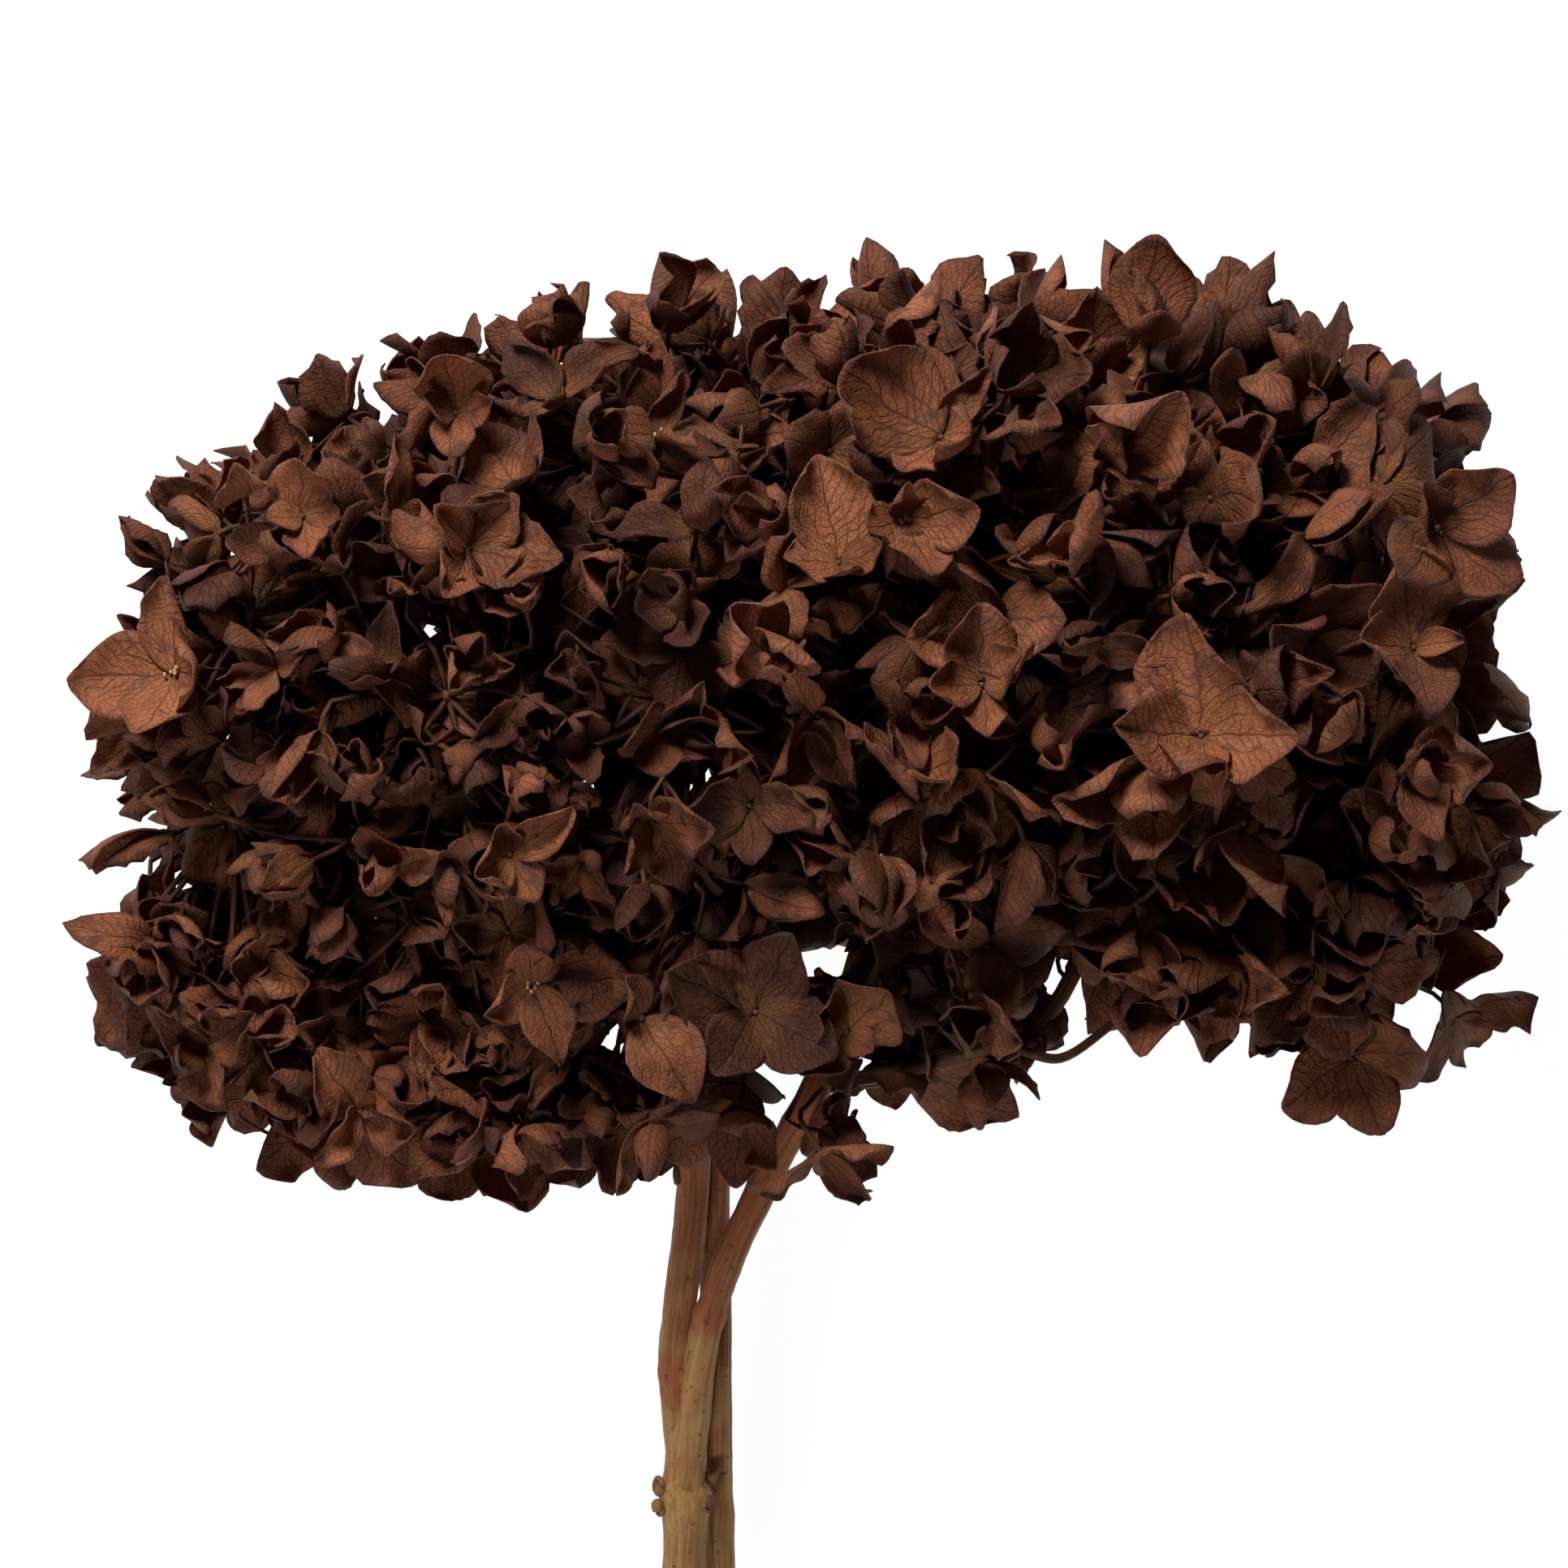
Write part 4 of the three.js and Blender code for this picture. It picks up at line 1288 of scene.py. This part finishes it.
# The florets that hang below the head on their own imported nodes: across, up the head and
# up from the floor in millimetres, the way each faces, and sepal length, habit and tone.
HANGING_FLORETS = {
    "far_left_floret": ((-111.8, -83.9, 62), (-0.35, -0.3, 0.9), 13, Habit.CUPPED, 0.5),
    "left_floret": ((-88.3, -86, 66), (0.1, -0.45, 0.9), 18, Habit.OPEN, 0.72),
    "near_left_floret": ((-59.3, -90.3, 72), (0.1, -0.3, 0.95), 17, Habit.OPEN, 0.62),
    "stem_left_floret": ((-27, -87, 94), (-0.2, -0.85, 0.4), 13, Habit.CRUMPLED, 0.5),
    "stem_right_floret": ((2.8, -92, 99), (0.5, -0.8, 0.3), 15, Habit.CRUMPLED, 0.55),
    "near_right_floret": ((33, -77, 84), (0.3, -0.9, 0.3), 13, Habit.CUPPED, 0.5),
    "right_floret": ((103.5, -75.6, 74), (0.15, -0.35, 0.92), 19, Habit.OPEN, 0.62),
    "far_right_floret": ((124.2, -68.2, 62), (0.55, -0.6, 0.6), 15, Habit.OPEN, 0.55),
}


# Twigs without florets: the branch that they grow from, their radius and the points that
# they pass through, in millimetres from the head's middle.
BARE_TWIGS = (
    ("ring_6_branch", 1.5, ((6, -80, 82), (18, -78, 88), (30, -74.5, 92), (39, -72, 94))),
    ("ring_6_branch", 0.95, ((38, -72.3, 94), (43, -74.5, 95), (48, -75.2, 94),
                             (57, -69.5, 90), (68, -60, 84))),
    ("ring_6_branch", 0.8, ((66, -48, 80), (84, -57.5, 84), (100, -58.5, 86), (113, -59.5, 84),
                            (118, -58.5, 76))),
    ("ring_6_branch", 0.5, ((100, -58.5, 86), (107, -54, 88), (115, -54.5, 88),
                            (119, -58, 84))),
    ("ring_6_branch", 0.5, ((92, -58, 85), (103, -63, 84), (107.5, -70, 82),
                            (104.5, -75, 76))),
    ("ring_1_branch", 0.8, ((-30, -80, 80), (-40, -75.5, 84), (-52, -74.5, 84),
                            (-62, -80, 78))),
    ("ring_1_branch", 0.45, ((-60, -66, 78), (-100, -80, 80), (-107, -86, 76),
                             (-100, -91, 72))),
)


@dataclass
class FlowerHead:
    """All the florets of the head, scattered over its surface and in a layer beneath.

    Attributes:
        head: The head's form.
        seed: What the chance starts from.
        candidates: How many places are tried for each layer.
        outer_gap: Least distance between two florets of the outer layer.
        inner_gap: The same for the layer beneath.
        outer_inset: Range of the outer florets' depth below the surface.
        inner_inset: The same for the layer beneath.
        core_gap: Least distance between two florets of the innermost layer.
        core_inset: Range of the innermost florets' depth below the surface.
        tones_and_depth_shade: How light the outer, inner and innermost florets are on average;
        the darker tones of the inner and innermost layers are painted shade of their depth.
        swells: How much larger the inner, innermost and fringe florets are.
        golden_share: The share of scattered florets with golden tips in their centres.
        tilt: How far a floret leans from straight out.
        settle: How far every placed floret sinks among its neighbours, in millimetres.
        fringe_gap: Least distance between a floret of the fringe and any other.
        fringes: Stretches of fringe: from and to across, how far it drops, all in
            millimetres, and how many florets it has.
    """

    head: HeadForm
    seed: int = 7
    candidates: int = 14000
    outer_gap: float = 0.0122
    inner_gap: float = 0.0138
    outer_inset: tuple[float, float] = (0.0125, 0.0215)
    inner_inset: tuple[float, float] = (0.024, 0.032)
    core_gap: float = 0.0152
    core_inset: tuple[float, float] = (0.038, 0.054)
    # Painted shade: the inner and innermost layers get darker tones because they lie deeper in
    # the head.
    tones_and_depth_shade: tuple[float, float, float] = (0.42, 0.2, 0.1)
    swells: tuple[float, float, float] = (1.1, 1.45, 1.1)
    golden_share: float = 0.12
    tilt: float = 0.62
    settle: float = 7.0
    fringe_gap: float = 0.0092
    fringes: Table = ((-124, -30, 12, 72), (90, 126, 6, 20), (10, 90, -7, 16))
    clusters: list[Cluster] = field(default_factory=list)

    def __post_init__(self) -> None:
        """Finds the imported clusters."""
        for node in sorted(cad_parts):
            if "florets" in node:
                low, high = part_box(node)
                self.clusters.append(Cluster(node, (low + high) / 2))

    def in_stem_slot(self, point: Vector) -> bool:
        """Whether a point lies where the stems enter the head."""
        x, y, z = point - self.head.middle
        return abs(x + 0.008) < 0.045 and y < -0.035 and abs(z) < 0.014

    def placed(self) -> list[Floret]:
        """Makes the florets that have their own places."""
        made = []
        for x, y, sunk, facing, length, habit, spin, lobes, tone in PLACED_FLORETS:
            height = self.head.front_height(x * MM, y * MM) / MM - sunk - self.settle
            made.append(Floret(self.head.place(x, y, height), Vector(facing).normalized(),
                               length * MM, habit, spin, lobes, tone, len(made) % 4 == 0))
        return made

    def size_at(self, x: float, draw: random.Random) -> float:
        """Draws a sepal length: the head's right side has the larger florets."""
        right = min(1.0, max(0.0, (x - self.head.middle.x + 0.02) / 0.06))
        return draw.uniform(0.0120, 0.0158) + right * draw.uniform(0.001, 0.0052)

    def scatter(self, taken: list[Vector], gap: float, inset: tuple[float, float],
                tone: float, swell: float, draw: random.Random) -> list[Floret]:
        """Scatters one layer of florets, none closer to another than a gap.

        Args:
            taken: The centres that are already there, which it adds to.
            gap: The least distance between two centres.
            inset: Range of the florets' depth below the surface.
            tone: How light they are on average.
            swell: How much larger they are than the outer ones.
            draw: The seeded source of chance.

        Returns:
            The layer's florets.
        """
        habits = [Habit.OPEN] * 6 + [Habit.CUPPED] * 10 + [Habit.CRUMPLED] * 5 + [Habit.REFLEXED]
        spots = np.array([tuple(point) for point in taken]).reshape(-1, 3)
        made = []
        for _ in range(self.candidates):
            sweep = draw.uniform(-math.pi / 2, math.pi / 2) * 0.985
            turn = draw.uniform(0, 2 * math.pi)
            point = self.head.point(sweep, turn, draw.uniform(*inset))
            if self.in_stem_slot(point):
                continue
            if len(spots) and (((spots - np.array(point)) ** 2).sum(1) < gap ** 2).any():
                continue
            spots = np.vstack([spots, np.array(point)])
            taken.append(point)
            lean = Vector([draw.gauss(0, self.tilt) for _ in range(3)])
            facing = (self.head.outward(sweep, turn) + lean).normalized()
            lobes = tuple(draw.uniform(0.74, 1.06) for _ in range(4))
            length = self.size_at(point.x, draw) * swell
            made.append(Floret(point, facing, length, draw.choice(habits),
                               draw.uniform(0, 360), lobes, tone + draw.gauss(0, 0.16),
                               draw.random() < self.golden_share))
        return made

    def fringe(self, taken: list[Vector], draw: random.Random) -> list[Floret]:
        """Hangs more florets from the head's underside, where it droops over the floor.

        Args:
            taken: The centres that are already there, which it adds to.
            draw: The seeded source of chance.

        Returns:
            The fringe's florets.
        """
        made = []
        for left, right, drop, count in self.fringes:
            for _ in range(count * 12):
                x = draw.uniform(left, right) * MM
                y = self.head.rise * x - self.head.half_height * self.head.share(x)
                point = self.head.middle + Vector((x, y - draw.uniform(-11, drop) * MM,
                                                   draw.uniform(-30, 22) * MM))
                if min((point - other).length for other in taken) < self.fringe_gap:
                    continue
                taken.append(point)
                facing = Vector((draw.gauss(0, 0.35), -0.45 + draw.gauss(0, 0.3), 0.85))
                lobes = tuple(draw.uniform(0.74, 1.06) for _ in range(4))
                length = self.size_at(point.x, draw) * self.swells[2]
                made.append(Floret(point, facing.normalized(), length,
                                   draw.choice([Habit.OPEN, Habit.CUPPED, Habit.CRUMPLED]),
                                   draw.uniform(0, 360), lobes, 0.45 + draw.gauss(0, 0.14)))
                count -= 1
                if not count:
                    break
        return made

    def build(self, maker: FloretMaker, finishes: Finishes) -> None:
        """Scatters the florets and builds every cluster.

        Args:
            maker: Builds each floret.
            finishes: The flower's materials.
        """
        draw = random.Random(self.seed)
        placed = self.placed()
        taken = [floret.centre.copy() for floret in placed]
        outer = self.scatter(taken, self.outer_gap, self.outer_inset, self.tones_and_depth_shade[0], 1.0, draw)
        outer += self.fringe(taken, draw)
        # The layers beneath get darker tones, which is painted shade of their depth.
        inner = self.scatter([], self.inner_gap, self.inner_inset, self.tones_and_depth_shade[1],
                             self.swells[0], draw)
        inner += self.scatter([], self.core_gap, self.core_inset, self.tones_and_depth_shade[2],
                              self.swells[1], draw)
        inner += self.fringe([self.head.middle], draw)
        LOG.info("%d placed, %d outer and %d inner florets", len(placed), len(outer), len(inner))
        for florets, loose in ((placed, False), (outer, True), (inner, True)):
            for floret in florets:
                home = min(self.clusters, key=lambda c: (c.centre - floret.centre).length)
                home.florets.append((floret, loose))
        for cluster in self.clusters:
            maker.build(cluster.node, cluster.twig_end(self.head), cluster.florets,
                        f"{cluster.node}_stalks", finishes)


@dataclass
class Branches:
    """The ten branches in the head's hollow, and the florets that hang from two of them.

    Attributes:
        head: The head's form.
        clusters: What their twigs lead to.
        radius: Radius of a branch.
        twig_radius: Radius of a twig.
        hanging_spin: Direction of a hanging floret's first sepal, in degrees.
        hanging_lobes: The sizes of a hanging floret's sepals.
        routes: Start, direction and fork of each branch, in millimetres.
    """

    head: HeadForm
    clusters: list[Cluster]
    radius: float = 0.0016
    twig_radius: float = 0.001
    hanging_spin: float = 17.0
    hanging_lobes: tuple[float, float, float, float] = (1.0, 0.9, 1.0, 0.9)
    routes: dict = field(default_factory=lambda: {
        "ring_1_branch": ((-22, -80.6, 75), (-1, 0.2, 0), (-67.6, -29.7, 74)),
        "ring_2_front_branch": ((-25, -52, 76), (-0.7, 0.5, 0.5), (-58.9, -29.1, 93)),
        "ring_2_back_branch": ((-25, -52, 76), (-0.7, 0.5, -0.6), (-58.9, -29.1, 55)),
        "ring_3_front_branch": ((-9, -52, 61), (-0.2, 0.5, 0.8), (-19.6, -26.4, 93)),
        "ring_3_back_branch": ((-9, -52, 61), (-0.4, 0.9, -0.3), (-19.6, -26.4, 55)),
        "ring_4_front_branch": ((-9, -52, 61), (0.5, 0.5, 0.7), (19.6, -23.6, 93)),
        "ring_4_back_branch": ((-9, -52, 61), (0.7, 0.7, -0.2), (19.6, -23.6, 55)),
        "ring_5_front_branch": ((13, -52, 78.5), (0.8, 0.5, 0.3), (58.9, -20.9, 93)),
        "ring_5_back_branch": ((13, -52, 78.5), (0.7, 0.5, -0.5), (58.9, -20.9, 55)),
        "ring_6_branch": ((4.5, -80.6, 80.5), (1, 0.2, 0), (67.6, -20.3, 74)),
    })

    def add_bare_twigs(self, mesh: bmesh.types.BMesh, name: str) -> None:
        """Adds the bent twigs below the head that have lost their florets."""
        for carrier, radius, points in BARE_TWIGS:
            if carrier == name:
                line = smooth_line([self.head.place(*point) for point in points], 6)
                Sweep(mesh, 8, 0.05).run(line, lambda walked, r=radius: r * MM * (
                    1.0 - 3.0 * walked))
                lump(mesh, line[-1], radius * MM * 1.25, detail=2)

    def line(self, name: str) -> list[Vector]:
        """Finds the points that a branch passes through."""
        start, way, fork = self.routes[name]
        first, last = self.head.place(*start), self.head.place(*fork)
        push = Vector(way).normalized() * (last - first).length * 0.42
        return [first, first + push, last]

    def leads_to(self, name: str, cluster: Cluster) -> bool:
        """Whether a branch carries a cluster: the same ring, and the same half if it has one."""
        ring = name.split("_")[1]
        if cluster.node in ("left_end_florets", "right_end_florets"):
            return ring == ("1" if cluster.node.startswith("left") else "6")
        if cluster.node.split("_")[1] != ring:
            return False
        front = cluster.centre.z > self.head.middle.z + MM
        return ("front" in name) == front or ring in "16"

    def build(self, finishes: Finishes) -> None:
        """Builds each branch with its twigs.

        Args:
            finishes: The flower's materials.
        """
        for name in self.routes:
            mesh = new_mesh()
            line = smooth_line(self.line(name), 8)
            Sweep(mesh, 10, 0.06).run(line, lambda walked: self.radius * (1.1 - 2.5 * walked))
            lump(mesh, line[-1], self.radius * 1.35, detail=2)
            for cluster in self.clusters:
                if self.leads_to(name, cluster):
                    end = cluster.twig_end(self.head)
                    bow = line[-1].lerp(end, 0.5) + Vector((0, -0.0015, 0.001))
                    Sweep(mesh, 7, 0.05).run(smooth_line([line[-1], bow, end], 4),
                                             lambda walked: self.twig_radius)
                    lump(mesh, end, self.twig_radius * 1.5, detail=2)
            self.add_bare_twigs(mesh, name)
            finish_piece(mesh, f"{name}_wood", [finishes.stalks], [name])

    def hang_florets(self, maker: FloretMaker, finishes: Finishes) -> None:
        """Builds the florets that hang below the head on their own stalks.

        Args:
            maker: Builds each floret.
            finishes: The flower's materials.
        """
        for node, row in HANGING_FLORETS.items():
            place, facing, length, habit, tone = row
            floret = Floret(self.head.place(*place), Vector(facing).normalized(),
                            length * MM, habit, self.hanging_spin, self.hanging_lobes, tone,
                            golden=node.startswith("near"))
            carrier = "ring_1_branch" if "left" in node else "ring_6_branch"
            line = smooth_line(self.line(carrier), 8)
            start = min(line, key=lambda p: (p - floret.centre).length)
            maker.build(node, start, [(floret, False)], f"{node}_stalk", finishes)


# ---- Studio ----


@dataclass
class Studio:
    """A plain pale floor, soft light and a camera that looks straight down.

    Attributes:
        head: The head's form, which the camera is set by.
        view_width: Width of the view at the height of the head's middle.
        view_centre: Middle of the view, in millimetres from the head's middle.
        camera_height: The camera's height above the head's middle.
        sensor: Width of the camera's sensor, in millimetres.
        key: The large soft light: place and aim from the head's middle, power and size.
        fill: The same for the weak light on the stems.
        sky: Strength of the light from all round.
        floor_glow: Light that the floor gives off, as on a light table.
    """

    head: HeadForm
    view_width: float = 0.2972
    view_centre: tuple[float, float] = (-3.7, -24.0)
    camera_height: float = 1.6
    sensor: float = 36.0
    key: tuple = ((-0.45, 0.95, 1.0), (0, 0, 0), 31.5, 0.5)
    fill: tuple = ((-0.2, -0.62, 0.42), (0, -0.15, -0.03), 2.0, 0.25)
    sky: float = 0.06
    floor_glow: float = 0.95

    def build(self) -> None:
        """Builds the floor, the lights, the world and the camera."""
        scene = bpy.context.scene
        scene.view_settings.view_transform = "Standard"
        mesh = bmesh.new()
        bmesh.ops.create_grid(mesh, x_segments=1, y_segments=1, size=4.0)
        data = bpy.data.meshes.new("floor")
        mesh.to_mesh(data)
        mesh.free()
        floor = bpy.data.objects.new("floor", data)
        scene.collection.objects.link(floor)
        material, _, skin, _ = new_material("pale_floor")
        skin.inputs["Base Color"].default_value = (0.16, 0.16, 0.16, 1.0)
        skin.inputs["Roughness"].default_value = 0.9
        skin.inputs["Emission Color"].default_value = (1.0, 1.0, 1.0, 1.0)
        skin.inputs["Emission Strength"].default_value = self.floor_glow
        data.materials.append(material)

        world = bpy.data.worlds.new("soft_room")
        world.use_nodes = True
        world.node_tree.nodes["Background"].inputs["Color"].default_value = (1, 1, 1, 1)
        world.node_tree.nodes["Background"].inputs["Strength"].default_value = self.sky
        scene.world = world
        self.light("key_light", *self.key)
        self.light("fill_light", *self.fill)

        camera = bpy.data.objects.new("camera", bpy.data.cameras.new("camera"))
        camera.data.sensor_width = self.sensor
        camera.data.lens = self.sensor * self.camera_height / self.view_width
        camera.data.clip_end = 20.0
        camera.location = self.head.place(*self.view_centre, 0.0)
        camera.location.z = self.head.middle.z + self.camera_height
        scene.collection.objects.link(camera)
        scene.camera = camera

    def light(self, name: str, offset: Sequence[float], aim: Sequence[float],
              watts: float, size: float) -> None:
        """Adds a soft square light.

        Args:
            name: Its name.
            offset: Its place from the head's middle, in metres.
            aim: What it points at, from the head's middle, in metres.
            watts: Its power.
            size: Length of its side.
        """
        lamp = bpy.data.lights.new(name, "AREA")
        lamp.energy, lamp.size = watts, size
        item = bpy.data.objects.new(name, lamp)
        item.location = self.head.middle + Vector(offset)
        away = Vector(offset) - Vector(aim)
        item.rotation_euler = away.to_track_quat("Z", "Y").to_euler()
        bpy.context.scene.collection.objects.link(item)


def main() -> None:
    """Builds the studio and the flower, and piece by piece."""
    logging.basicConfig(level=logging.INFO, format="%(name)s: %(message)s")
    head = HeadForm.from_frame()
    Studio(head).build()
    finishes = Finishes()
    Stems(head).build(finishes)
    maker = FloretMaker(head, random.Random(23))
    flower = FlowerHead(head)
    branches = Branches(head, flower.clusters)
    branches.build(finishes)
    branches.hang_florets(maker, finishes)
    flower.build(maker, finishes)


if __name__ == "__main__":
    main()
